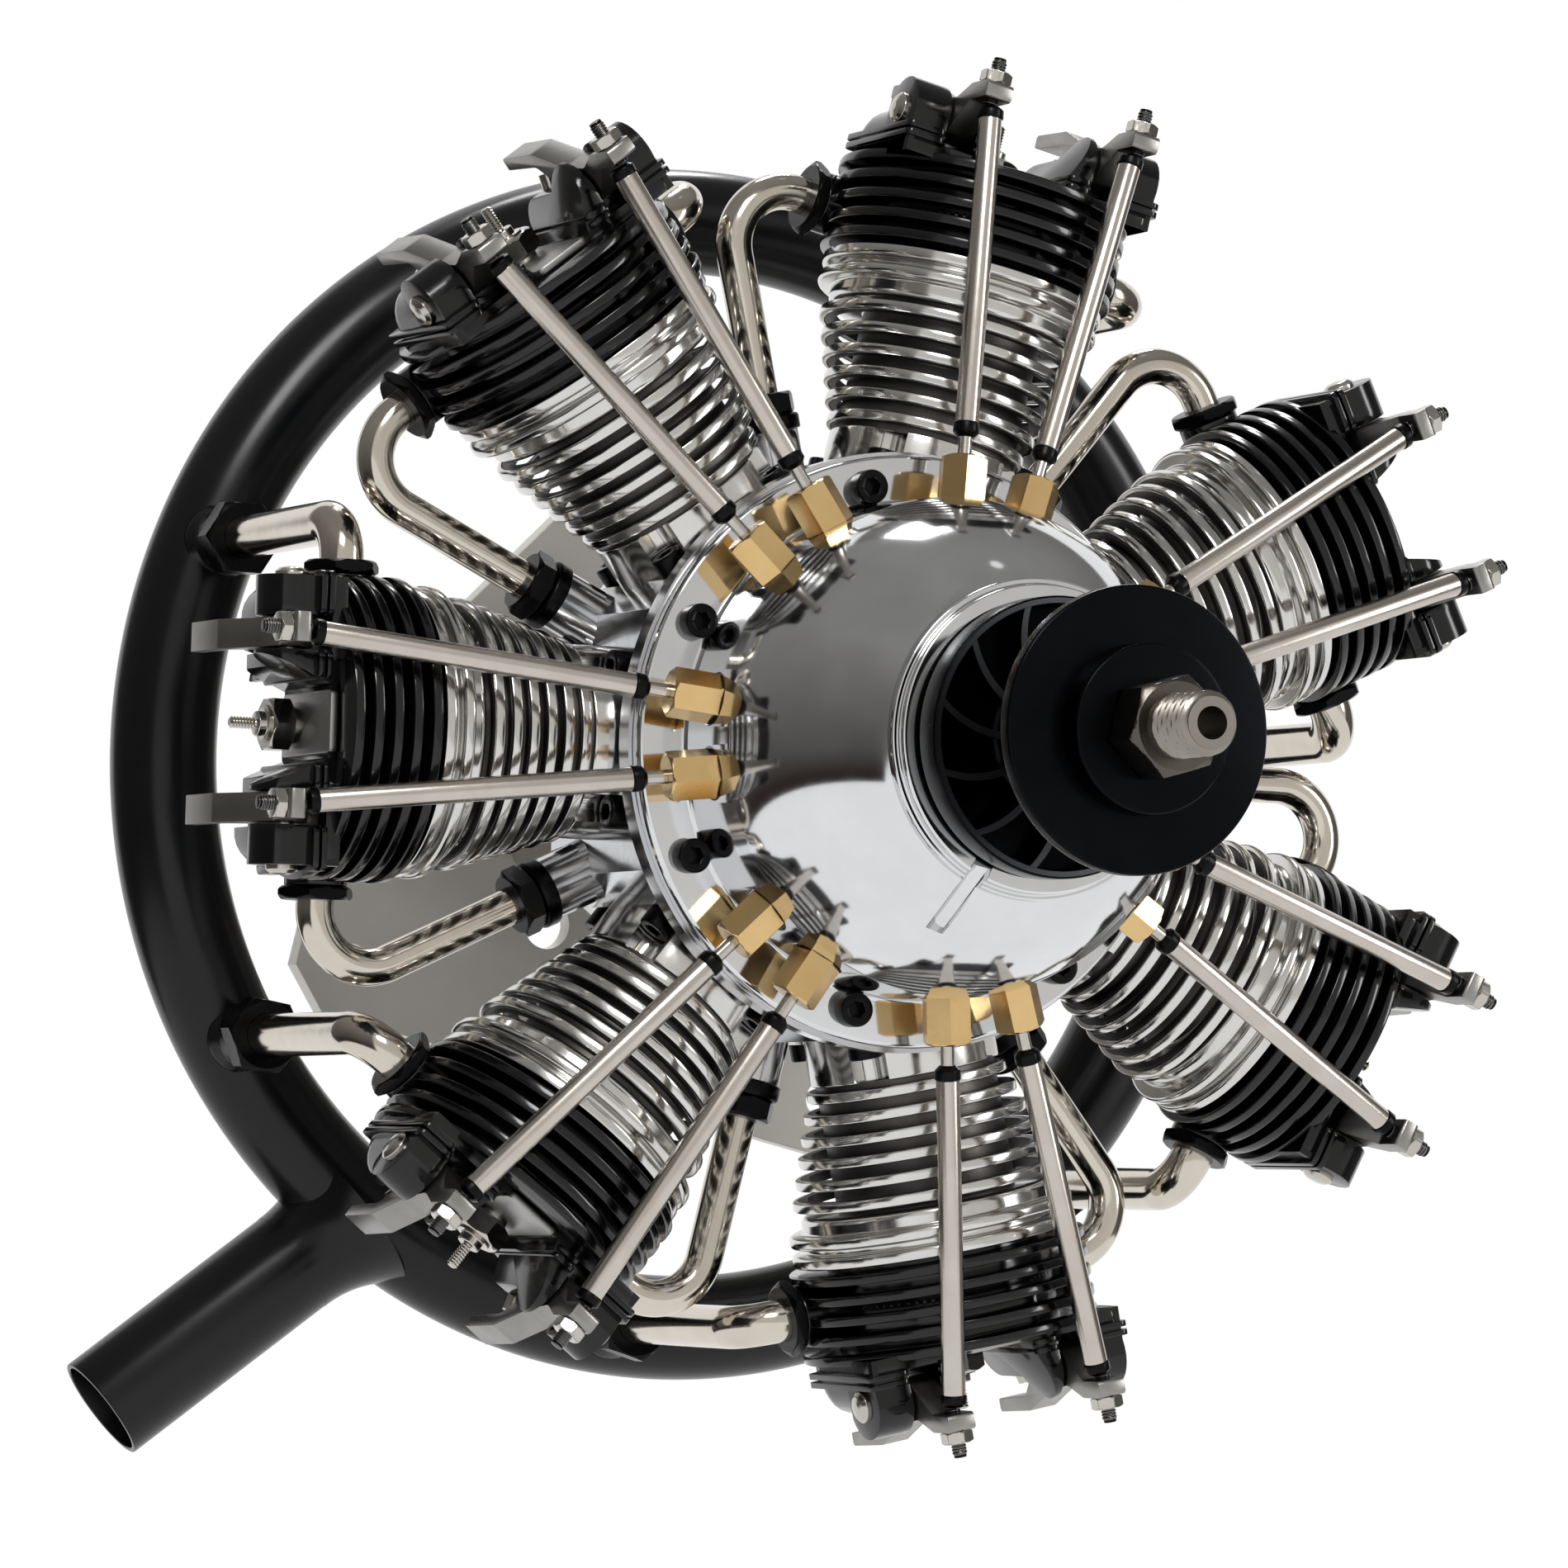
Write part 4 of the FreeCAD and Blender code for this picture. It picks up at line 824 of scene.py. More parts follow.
def pipe_recipe() -> Recipe:
    """Bends a line with a radius, makes it a pipe, and repeats it round the crank."""
    floats, numbers = ("Bend", "Radius"), ("Bend Steps", "Sides", "Count")
    recipe = Recipe("bent_pipes", {**dict.fromkeys(floats, "Float"), **dict.fromkeys(numbers, "Int")})
    entry = recipe.entry
    line = recipe.add("GeometryNodeMeshToCurve", {0: entry["Geometry"]})
    corner = {"Curve": line[0], "Count": entry["Bend Steps"], "Radius": entry["Bend"]}
    bent = recipe.add("GeometryNodeFilletCurve", corner, mode="POLY")
    ring = recipe.add("GeometryNodeCurvePrimitiveCircle", {"Resolution": entry["Sides"], "Radius": entry["Radius"]})
    skin = recipe.add("GeometryNodeCurveToMesh", {"Curve": bent[0], "Profile Curve": ring[0], "Fill Caps": True})
    return recipe.close(recipe.round_crank(skin[0], entry["Count"]))


def seats_recipe() -> Recipe:
    """Sets a fastener on each seat, square to it, and repeats the set round the crank."""
    recipe = Recipe("seated_fasteners", {"Fastener": "Object", "Count": "Int"})
    entry = recipe.entry
    master = recipe.add("GeometryNodeObjectInfo", {"Object": entry["Fastener"]})
    way = recipe.add("GeometryNodeInputNamedAttribute", {"Name": "way"}, data_type="FLOAT_VECTOR")
    square = recipe.add("FunctionNodeAlignRotationToVector", {"Vector": way[0]}, axis="Z")
    seated = recipe.add(
        "GeometryNodeInstanceOnPoints",
        {"Points": entry["Geometry"], "Instance": master["Geometry"], "Rotation": square[0]},
    )
    return recipe.close(recipe.round_crank(seated[0], entry["Count"]))


def line_mesh(points: Sequence[Vector]) -> bpy.types.Mesh:
    """A mesh of one open line through points in millimetres."""
    mesh = bpy.data.meshes.new("line")
    mesh.from_pydata([point * MM for point in points], [(k, k + 1) for k in range(len(points) - 1)], [])
    return mesh


def seat_mesh(seats: Sequence[tuple[Vector, Vector]]) -> bpy.types.Mesh:
    """A mesh of loose points, each a seat with the way its fastener points."""
    mesh = bpy.data.meshes.new("seats")
    mesh.from_pydata([place * MM for place, _ in seats], [], [])
    way = mesh.attributes.new("way", "FLOAT_VECTOR", "POINT")
    way.data.foreach_set("vector", [value for _, direction in seats for value in direction])
    return mesh


@dataclass
class Recipes:
    """The geometry trees that the engine's repeated pieces share."""

    fins: Recipe = field(default_factory=fins_recipe)
    circle: Recipe = field(default_factory=circle_recipe)
    pipe: Recipe = field(default_factory=pipe_recipe)
    seats: Recipe = field(default_factory=seats_recipe)

    def repeat(
        self, name: str, shells: Sequence[Shell], bevel: float = 0.0, count: int = CYLINDERS
    ) -> bpy.types.Object:
        """Makes a piece of shells of one finish and repeats it round the crank.

        Args:
            name: Name of the piece.
            shells: Shells for cylinder 1, all of one finish.
            bevel: Width of the bevel on sharp edges, in millimetres.
            count: Copies round the crank.

        Returns:
            The piece.
        """
        return self.circle.run(name, single_mesh(name, shells, bevel), shells[0].finish, Count=count)

    def seat(self, name: str, fastener: Shell, seats: Sequence[tuple[Vector, Vector]]) -> bpy.types.Object:
        """Sets copies of a fastener on seats of cylinder 1 and repeats them round the crank."""
        master = piece(name + "_single", [fastener])
        made = self.seats.run(name, seat_mesh(seats), fastener.finish, Fastener=master, Count=CYLINDERS)
        bpy.data.objects.remove(master)
        return made


# ---------------------------------------------------------------- the engine


@dataclass
class RearUnit:
    """The mount plate, its standoffs, the induction housing and the carburettor."""

    plate_bevel: float = 0.3
    casting_bevel: float = 0.6
    small_bevel: float = 0.2

    def build(self) -> None:
        """Makes the plate and the castings behind the crankcase."""
        for name, node, finish, bevel, body, slot in (
            ("firewall_plate", "mount_plate", PLATE_ALUMINIUM, self.plate_bevel, "engine", "plate_aluminium"),
            ("induction_drum", "induction_housing", CAST_ALUMINIUM, self.casting_bevel, "engine", "polished_aluminium"),
            ("carburettor_casting", "carburettor_body", CAST_ALUMINIUM, self.casting_bevel, "engine", "cast_aluminium"),
            ("standoff_bars", "standoffs", BRIGHT_STEEL, self.plate_bevel, "engine", "steel_plain"),
            ("mixture_needle", "needle_valve", BRASS, self.small_bevel, "engine", "steel_plain"),
            ("throttle_drum", "throttle_barrel", BRIGHT_STEEL, self.small_bevel, "throttle", "cast_aluminium"),
        ):
            settle(smooth_copy(name, node, finish, bevel), body, slot, node)


@dataclass
class Crankcase:
    """The seven-sided case and its front flange."""

    bevel: float = 0.5

    def build(self) -> None:
        """Makes the polished case."""
        case = smooth_copy("polished_crankcase", "crankcase", CASE_ALUMINIUM, self.bevel)
        settle(case, "engine", "polished_aluminium", "crankcase")


@dataclass
class NoseCase:
    """The polished cover with the drum that carries the tappets, and its domed nose."""

    gear: "ValveGear"
    rear: float = 103.2
    flange_radius: float = 47.3
    flange_front: float = 106.0
    drum_radius: float = 39.5
    drum_front: float = 122.5
    bulge: float = 44.0
    nose_radius: float = 25.0
    nose_rear: float = 149.5
    step: float = 151.3
    step_radius: float = 24.0
    front: float = 153.0
    wall: float = 3.0
    seal_radius: float = 6.6
    groove_radius: float = 1.6
    groove_top: tuple[float, float, float] = (-5.3, -153.4, -22.4)
    groove_foot: tuple[float, float, float] = (-5.3, -141.7, -32.3)
    spot_radius: float = 4.3
    spot_seat: float = 38.0
    spot_reach: float = 9.0
    dome_steps: int = 40
    seal_depth: float = 6.0

    def profile(self) -> list[tuple[float, float]]:
        """The half profile, from the rear inner edge round the outside."""
        outer: list[Corner] = [
            (self.drum_radius - self.wall, self.rear),
            (self.flange_radius, self.rear, 0.3),
            (self.flange_radius, self.flange_front, 0.7),
            (self.drum_radius, self.flange_front, 0.8),
        ]
        ends = (self.drum_radius, self.drum_front), (self.nose_radius, self.nose_rear)
        dome = arc(*ends, self.bulge, self.dome_steps)
        collar: list[Corner] = [
            (self.nose_radius, self.nose_rear),
            (self.nose_radius, self.step, 0.35),
            (self.step_radius, self.step, 0.3),
            (self.step_radius, self.front, 0.4),
            (self.seal_radius, self.front),
            (self.seal_radius, self.front - self.seal_depth),
            (self.nose_radius - self.wall, self.front - self.seal_depth),
            (self.drum_radius - self.wall, self.drum_front),
        ]
        return soften([*outer, *dome, *collar[1:]])

    def cuts(self) -> list[Shell]:
        """The milled groove below the nose, and a flat for each tappet guide."""
        top, foot = Vector(self.groove_top), Vector(self.groove_foot)
        run = foot - top
        bar = [(0, 0), (self.groove_radius, 0), (self.groove_radius, run.length), (0, run.length)]
        cutters = [lathe(bar, along(top, run), MIRROR_ALUMINIUM, ROD_SIDES)]
        drum = [(0, 0), (self.spot_radius, 0), (self.spot_radius, self.spot_reach), (0, self.spot_reach)]
        for side in SIDES:
            way = self.gear.rod_way(side)
            foot = self.gear.rod_foot(side)
            seat = foot + way * ((self.spot_seat - foot.z) / way.z)
            single = lathe(drum, along(seat, way), MIRROR_ALUMINIUM, PORT_SIDES)
            cutters += [single.moved(to_cylinder(index)) for index in range(CYLINDERS)]
        return cutters

    def build(self) -> None:
        """Makes the cover."""
        shell = lathe(self.profile(), CRANK, MIRROR_ALUMINIUM, CASE_SIDES, closed=True)
        cover = carve(piece("domed_front_case", [shell]), self.cuts())
        settle(cover, "engine", "polished_aluminium", "front_case")


@dataclass
class CylinderBank:
    """Seven finned barrels under black finned heads."""

    recipes: Recipes
    foot: float = 43.0
    foot_width: float = 29.0
    foot_depth: float = 30.0
    foot_thick: float = 1.5
    foot_corner: float = 3.0
    drum_radius: float = 15.5
    drum_top: float = 51.55
    spigot_radius: float = 13.4
    bore_radius: float = 12.15  # a little wide, so that its flats clear the pistons
    core_radius: float = 14.5
    fins: int = 6
    fin_first: float = 52.4
    fin_pitch: float = 3.4
    fin_thick: float = 1.7
    fin_radius: float = 16.4
    fin_growth: float = 1.05
    rim_depth: float = 0.7
    rim_ease: float = 0.32
    collar_foot: float = 72.0
    collar_radius: float = 20.8
    band_radius: float = 23.2
    band_foot: float = 74.9
    band_thick: float = 2.0
    seat: float = 80.0
    scallop_radius: float = 3.1
    screw_spread: float = 11.5
    screw_offset: float = 11.0
    head_radius: float = 18.0
    head_fins: int = 5
    head_fin_first: float = 81.0
    head_fin_pitch: float = 3.25
    head_fin_thick: float = 1.6
    head_fin_radius: float = 24.2
    head_top: float = 96.6
    box_inner: float = 8.6
    box_outer: float = 22.5
    box_front: float = 99.5
    box_rear: float = 77.0
    box_top: float = 104.5
    box_floor: float = 97.0
    slot_low: float = 10.9
    slot_high: float = 16.3
    ear_radius: float = 5.5
    pivot_station: float = 94.0
    pivot_height: float = 102.0
    port_radius: float = 5.0
    port_face: float = 24.6
    shoulder: float = 5.5
    valley_foot: float = 4.8
    valley_top: float = 10.3
    small_pitch: float = 1.4
    small_thick: float = 0.9
    small_reach: float = 0.9
    small_gap: float = 1.6
    small_corner: float = 1.2
    box_corner: float = 1.5
    crown_foot: float = 87.0
    saddle_half: float = 8.0
    saddle_start: float = -79.0
    saddle_fall: float = 27.0
    open_fins: int = 2
    seat_half: float = 5.0
    seat_rear: float = -79.0
    seat_corner: float = 1.0
    spigot_foot: float = 35.0
    chamber_radius: float = 9.5
    chamber_rise: float = 4.0
    port_foot: float = 10.8
    intake_port: tuple[float, float] = (73.0, 88.0)  # station and height
    exhaust_port: tuple[float, float] = (78.0, 87.35)
    plug_line: tuple[Corner, ...] = (
        (0, 87.8), (3.0, 87.8), (3.0, 101.6), (2.0, 101.6, 0.2), (2.0, 103.0, 0.3), (0.8, 103.0)
    )
    plug_ridges: int = 16
    plug_ridge_foot: float = 103.2
    plug_ridge_step: float = 0.25
    plug_top: float = 107.3
    plug_hexagon: tuple[float, float, float] = (4.0, 3.7, 97.6)  # half flats, length and foot

    def fin(self, outer: float, inner: float, thick: float, finish: Finish) -> Shell:
        """One flat ring with an eased rim, its foot at height 0."""
        corners = [(inner, 0), (outer, 0, self.rim_ease), (outer, thick, self.rim_ease), (inner, thick)]
        return lathe(soften(corners, 3), HERE, finish, FIN_SIDES, closed=True)

    def stack(
        self, name: str, fin: Shell, count: int, first: float, pitch: float, growth: float = 0.0
    ) -> bpy.types.Object:
        """Stacks copies of a fin on every cylinder.

        Args:
            name: Name of the piece.
            fin: The fin, its foot at height 0.
            count: Fins on one cylinder.
            first: Height of the first fin.
            pitch: Step from fin to fin.
            growth: How much wider each is than the one below, as a share.

        Returns:
            The piece.
        """
        return self.recipes.fins.run(
            name,
            single_mesh(name, [fin]),
            fin.finish,
            Fins=count,
            First=first * MM,
            Pitch=pitch * MM,
            Growth=growth,
            Station=-CYLINDER_PLANE * MM,
            Cylinders=CYLINDERS,
        )

    def scalloped(self, radius: float, height: float, turn: float) -> float:
        """The drum's radius where the four screws' reliefs bite into it."""
        if not self.foot < height < self.drum_top + 0.1 or radius <= self.spigot_radius:
            return radius
        for across in (-self.screw_spread, self.screw_spread):
            for ahead in (-self.screw_offset, self.screw_offset):
                reach, way = math.hypot(across, ahead), math.atan2(ahead, across)
                sway = reach * math.sin(turn - way)
                if abs(sway) < self.scallop_radius and math.cos(turn - way) > 0:
                    edge = reach * math.cos(turn - way) - math.sqrt(self.scallop_radius**2 - sway**2)
                    radius = min(radius, max(edge, self.bore_radius + 0.5))
        return radius

    def foot_edge(self, radius: float, height: float, turn: float) -> float:
        """The reach of the square foot with its round corners, or the radius inside it."""
        if radius <= self.spigot_radius:
            return radius
        along_x, along_y = abs(math.cos(turn)), abs(math.sin(turn))
        half_width, half_depth, corner = self.foot_width / 2, self.foot_depth / 2, self.foot_corner
        flat = min(half_width / max(along_x, 1e-9), half_depth / max(along_y, 1e-9))
        centre = Vector((half_width - corner, half_depth - corner))
        if flat * along_x > centre.x and flat * along_y > centre.y:
            reach = centre.x * along_x + centre.y * along_y
            flat = reach + math.sqrt(max(0.0, corner**2 - (centre.length_squared - reach**2)))
        return flat

    def build_barrels(self) -> None:
        """Makes the barrels' tubes, feet and fins."""
        up: list[Corner] = [
            (self.bore_radius, self.spigot_foot),
            (self.spigot_radius, self.spigot_foot),
            (self.spigot_radius, self.foot),
            (self.drum_radius, self.foot + 0.05),
            (self.drum_radius, self.drum_top, 0.4),
            (self.core_radius, self.drum_top),
            (self.core_radius, self.collar_foot, 0.8),
            (self.collar_radius, self.collar_foot, 1.3),
            (self.collar_radius, self.band_foot, 0.4),
            (self.band_radius, self.band_foot, 0.7),
            (self.band_radius, self.band_foot + self.band_thick, 0.7),
            (self.collar_radius, self.band_foot + self.band_thick, 0.3),
            (self.collar_radius, self.seat - self.band_thick, 0.3),
            (self.band_radius, self.seat - self.band_thick, 0.7),
            (self.band_radius, self.seat, 0.3),
            (self.bore_radius, self.seat),
        ]
        tube = lathe(soften(up), BORE, FIN_ALUMINIUM, BARREL_SIDES, closed=True, rule=self.scalloped)
        top = self.foot + self.foot_thick
        ring = [
            (self.spigot_radius - 0.3, self.foot),
            (self.drum_radius, self.foot),
            (self.drum_radius, top - 0.3),
            (self.drum_radius, top),
            (self.spigot_radius - 0.3, top),
        ]
        foot = lathe(ring, BORE, FIN_ALUMINIUM, BARREL_SIDES, closed=True, rule=self.foot_edge)
        body = self.recipes.repeat("barrel_tubes", [tube, foot])
        settle(body, "engine", "polished_aluminium", "cylinder_barrels")
        # The tube between the fins takes the dark root finish: painted shade between the rims.
        root = [
            (self.core_radius - 1, self.drum_top - 0.2),
            (self.core_radius + 0.15, self.drum_top - 0.2),
            (self.core_radius + 0.15, self.collar_foot + 0.2),
            (self.core_radius - 1, self.collar_foot + 0.2),
        ]
        roots = self.recipes.repeat("barrel_fin_roots", [lathe(root, BORE, FIN_ROOT_PAINTED_SHADE, NUT_SIDES, closed=True)])
        settle(roots, "engine", "polished_aluminium")
        # The fins' sides take the dark root finish as painted shade; only their rims stay bright.
        inset, rim = self.fin_thick * 0.02, self.fin_radius - self.rim_depth
        for name, outer, inner, thick, finish in (
            ("barrel_fin_rims", self.fin_radius, rim, self.fin_thick, FIN_ALUMINIUM),
            ("barrel_fin_webs", rim, self.core_radius, self.fin_thick - 2 * inset, FIN_ROOT_PAINTED_SHADE),
        ):
            first = self.fin_first + (inset if finish is FIN_ROOT_PAINTED_SHADE else 0)
            growth = self.fin_growth / self.fin_radius
            fin = self.fin(outer, inner, thick, finish)
            settle(self.stack(name, fin, self.fins, first, self.fin_pitch, growth), "engine", "polished_aluminium")

    def cheek(self, back_top: float, back: float) -> list[tuple[float, float]]:
        """The side outline of a cheek.

        Args:
            back_top: Height of the block behind the ear.
            back: How far the block reaches to the rear.

        Returns:
            The outline as (station, height), with the ear about the pivot.
        """
        low = self.head_top - 2
        ear_x, ear_z, ear = -self.pivot_station, self.pivot_height, self.ear_radius
        line: list[Corner] = [
            (-self.box_front, low),
            (-back, low),
            (-back, back_top, 3.0),
            (ear_x + ear * 0.95, back_top, 0.6),
        ]
        outline = soften([*line, (ear_x, back_top - 1), (-self.box_front, back_top - 3)], 5)[:-2]
        turns = [math.radians(25 + 175 * k / 14) for k in range(15)]
        outline += [(ear_x + ear * math.cos(turn), ear_z + ear * math.sin(turn)) for turn in turns]
        return outline

    def tower(self, side: Side) -> list[Shell]:
        """The base, the two cheeks and the small fins that carry one rocker."""
        sign = side.value

        def section(across: Sequence[float], line: Sequence[tuple[float, float]]) -> list[Vector]:
            return [Vector((sign * x, y, z)) for x, (y, z) in zip(across, line)]

        sections = []
        for step in range(8):
            share = step / 7
            across = self.slot_high + (self.box_outer - self.slot_high) * math.sin(share * math.pi / 2)
            past = max(0.0, across - (self.box_outer - self.shoulder))
            drop = self.shoulder - math.sqrt(max(0.0, self.shoulder**2 - past**2))
            line = self.cheek(self.box_top - drop, self.box_rear + drop * 0.45)
            sections.append(section([across] * len(line), line))
        outer = loft(sections, HEAD_ENAMEL)
        line = self.cheek(self.box_top - 0.8, self.box_rear + 1.0)
        low, high = self.head_top - 2, self.pivot_height + self.ear_radius
        slant = [self.valley_foot + (self.valley_top - self.valley_foot) * (z - low) / (high - low) for _, z in line]
        inner = loft([section(slant, line), section([self.slot_low] * len(line), line)], HEAD_ENAMEL)
        base = sorted((sign * self.box_inner, sign * self.box_outer))
        corners = (base[0], -self.box_front, low), (base[1], -self.box_rear, self.box_floor)
        shells = [outer, inner, block(*corners, self.box_corner, HERE, HEAD_ENAMEL)]
        reach = self.small_reach
        spans = (self.valley_foot + self.small_gap, self.slot_low), (self.slot_high, self.box_outer + reach)
        for level in (self.box_floor, self.box_floor + self.small_pitch):
            for near, far in spans:
                ends = sorted((sign * near, sign * far))
                lower = ends[0], -self.box_front - reach, level
                upper = ends[1], -self.box_rear + reach, level + self.small_thick
                shells.append(block(lower, upper, self.small_corner, HERE, HEAD_ENAMEL))
        return shells

    def crown(self) -> list[Shell]:
        """The top of the head's core, which falls away behind the plug between the two towers."""
        low, radius, half = self.crown_foot, self.head_radius, self.saddle_half
        reach = math.sqrt(radius**2 - half**2)
        front, rear = -CYLINDER_PLANE - reach, -CYLINDER_PLANE + reach
        fall = (rear - self.saddle_start) * math.tan(math.radians(self.saddle_fall))
        top = self.head_top
        saddle = [(front, low), (rear, low), (rear, top - fall), (self.saddle_start, top), (front, top)]
        shells = [slab(saddle, -half, half, SIDE_VIEW, HEAD_ENAMEL)]
        edge = math.asin(half / radius)
        for side in SIDES:
            middle = 0.0 if side is Side.EXHAUST else math.pi
            sweep = math.pi / 2 - edge
            turns = [middle - sweep + 2 * sweep * k / 28 for k in range(29)]
            outline = [(radius * math.cos(turn), -CYLINDER_PLANE + radius * math.sin(turn)) for turn in turns]
            shells.append(slab(outline, low, self.head_top, HERE, HEAD_ENAMEL))
        return shells

    def open_fin(self, level: float) -> Shell:
        """A head fin with a gap at the rear, where the crown falls away."""
        half, outer, inner = self.saddle_half, self.head_fin_radius, self.head_radius - 0.5
        rows = []
        for radius, way in ((outer, 1), (inner, -1)):
            gap = math.asin(half / radius)
            first, last = math.pi / 2 + gap, math.pi / 2 - gap + math.tau
            rows += [
                (radius * math.cos(turn), -CYLINDER_PLANE + radius * math.sin(turn))
                for turn in [first + (last - first) * k / 84 for k in range(85)][::way]
            ]
        return slab(rows, level, level + self.head_fin_thick, HERE, HEAD_ENAMEL)

    def build_heads(self) -> None:
        """Makes the heads' cores, towers, bosses and fins."""
        core: list[Corner] = [
            (0, self.seat + self.chamber_rise),
            (self.chamber_radius, self.seat + self.chamber_rise),
            (self.bore_radius, self.seat),
            (self.head_radius, self.seat),
            (self.head_radius, self.crown_foot + 0.5),
            (0, self.crown_foot + 0.5),
        ]
        parts = [lathe(core, BORE, HEAD_ENAMEL, FIN_SIDES), *self.crown()]
        for side in SIDES:
            parts += self.tower(side)
        boss: list[Corner] = [
            (0, self.port_foot),
            (self.port_radius, self.port_foot),
            (self.port_radius, self.port_face, 0.3),
            (0, self.port_face),
        ]
        for side, (station, height) in zip(SIDES, (self.intake_port, self.exhaust_port)):
            place = along(Vector((0, -station, height)), RIGHT * side.value)
            parts.append(lathe(soften(boss, closed=False), place, HEAD_ENAMEL, PORT_SIDES))
        heads = self.recipes.repeat("head_castings", parts, bevel=0.3)
        settle(heads, "engine", "black_anodised", "cylinder_heads")
        whole = self.head_fins - self.open_fins
        fin = self.fin(self.head_fin_radius, self.head_radius - 0.5, self.head_fin_thick, HEAD_ENAMEL)
        fins = self.stack("head_fins", fin, whole, self.head_fin_first, self.head_fin_pitch)
        settle(fins, "engine", "black_anodised")
        levels = [self.head_fin_first + self.head_fin_pitch * k for k in range(whole, self.head_fins)]
        upper = self.recipes.repeat("upper_head_fins", [self.open_fin(level) for level in levels], bevel=0.3)
        settle(upper, "engine", "black_anodised")
        low, high = self.head_top - 1, self.head_top + 0.3
        corners = (-self.seat_half, -self.box_front, low), (self.seat_half, self.seat_rear, high)
        seat = block(*corners, self.seat_corner, HERE, SEAT_ALUMINIUM)
        settle(self.recipes.repeat("plug_seats", [seat], bevel=0.25), "engine", "black_anodised")

    def build_plugs(self) -> None:
        """Makes the glow plugs with their hexagons and terminals."""
        body = list(self.plug_line)
        for k in range(self.plug_ridges):
            body.append((0.95 if k % 2 else 0.72, self.plug_ridge_foot + self.plug_ridge_step * k))
        body += [(0.6, self.plug_top), (0, self.plug_top)]
        stem = lathe(soften(body, closed=False), BORE, BRIGHT_STEEL, ROD_SIDES)
        half_flats, length, low = self.plug_hexagon
        hexagon = nut(half_flats, length, 0.0, BORE @ Matrix.Translation((0, 0, low)), BRIGHT_STEEL)
        plugs = self.recipes.repeat("glow_plug_set", [stem, hexagon])
        settle(plugs, "engine", "steel_plain", "glow_plugs")

    def build(self) -> None:
        """Makes the whole bank."""
        self.build_barrels()
        self.build_heads()
        self.build_plugs()


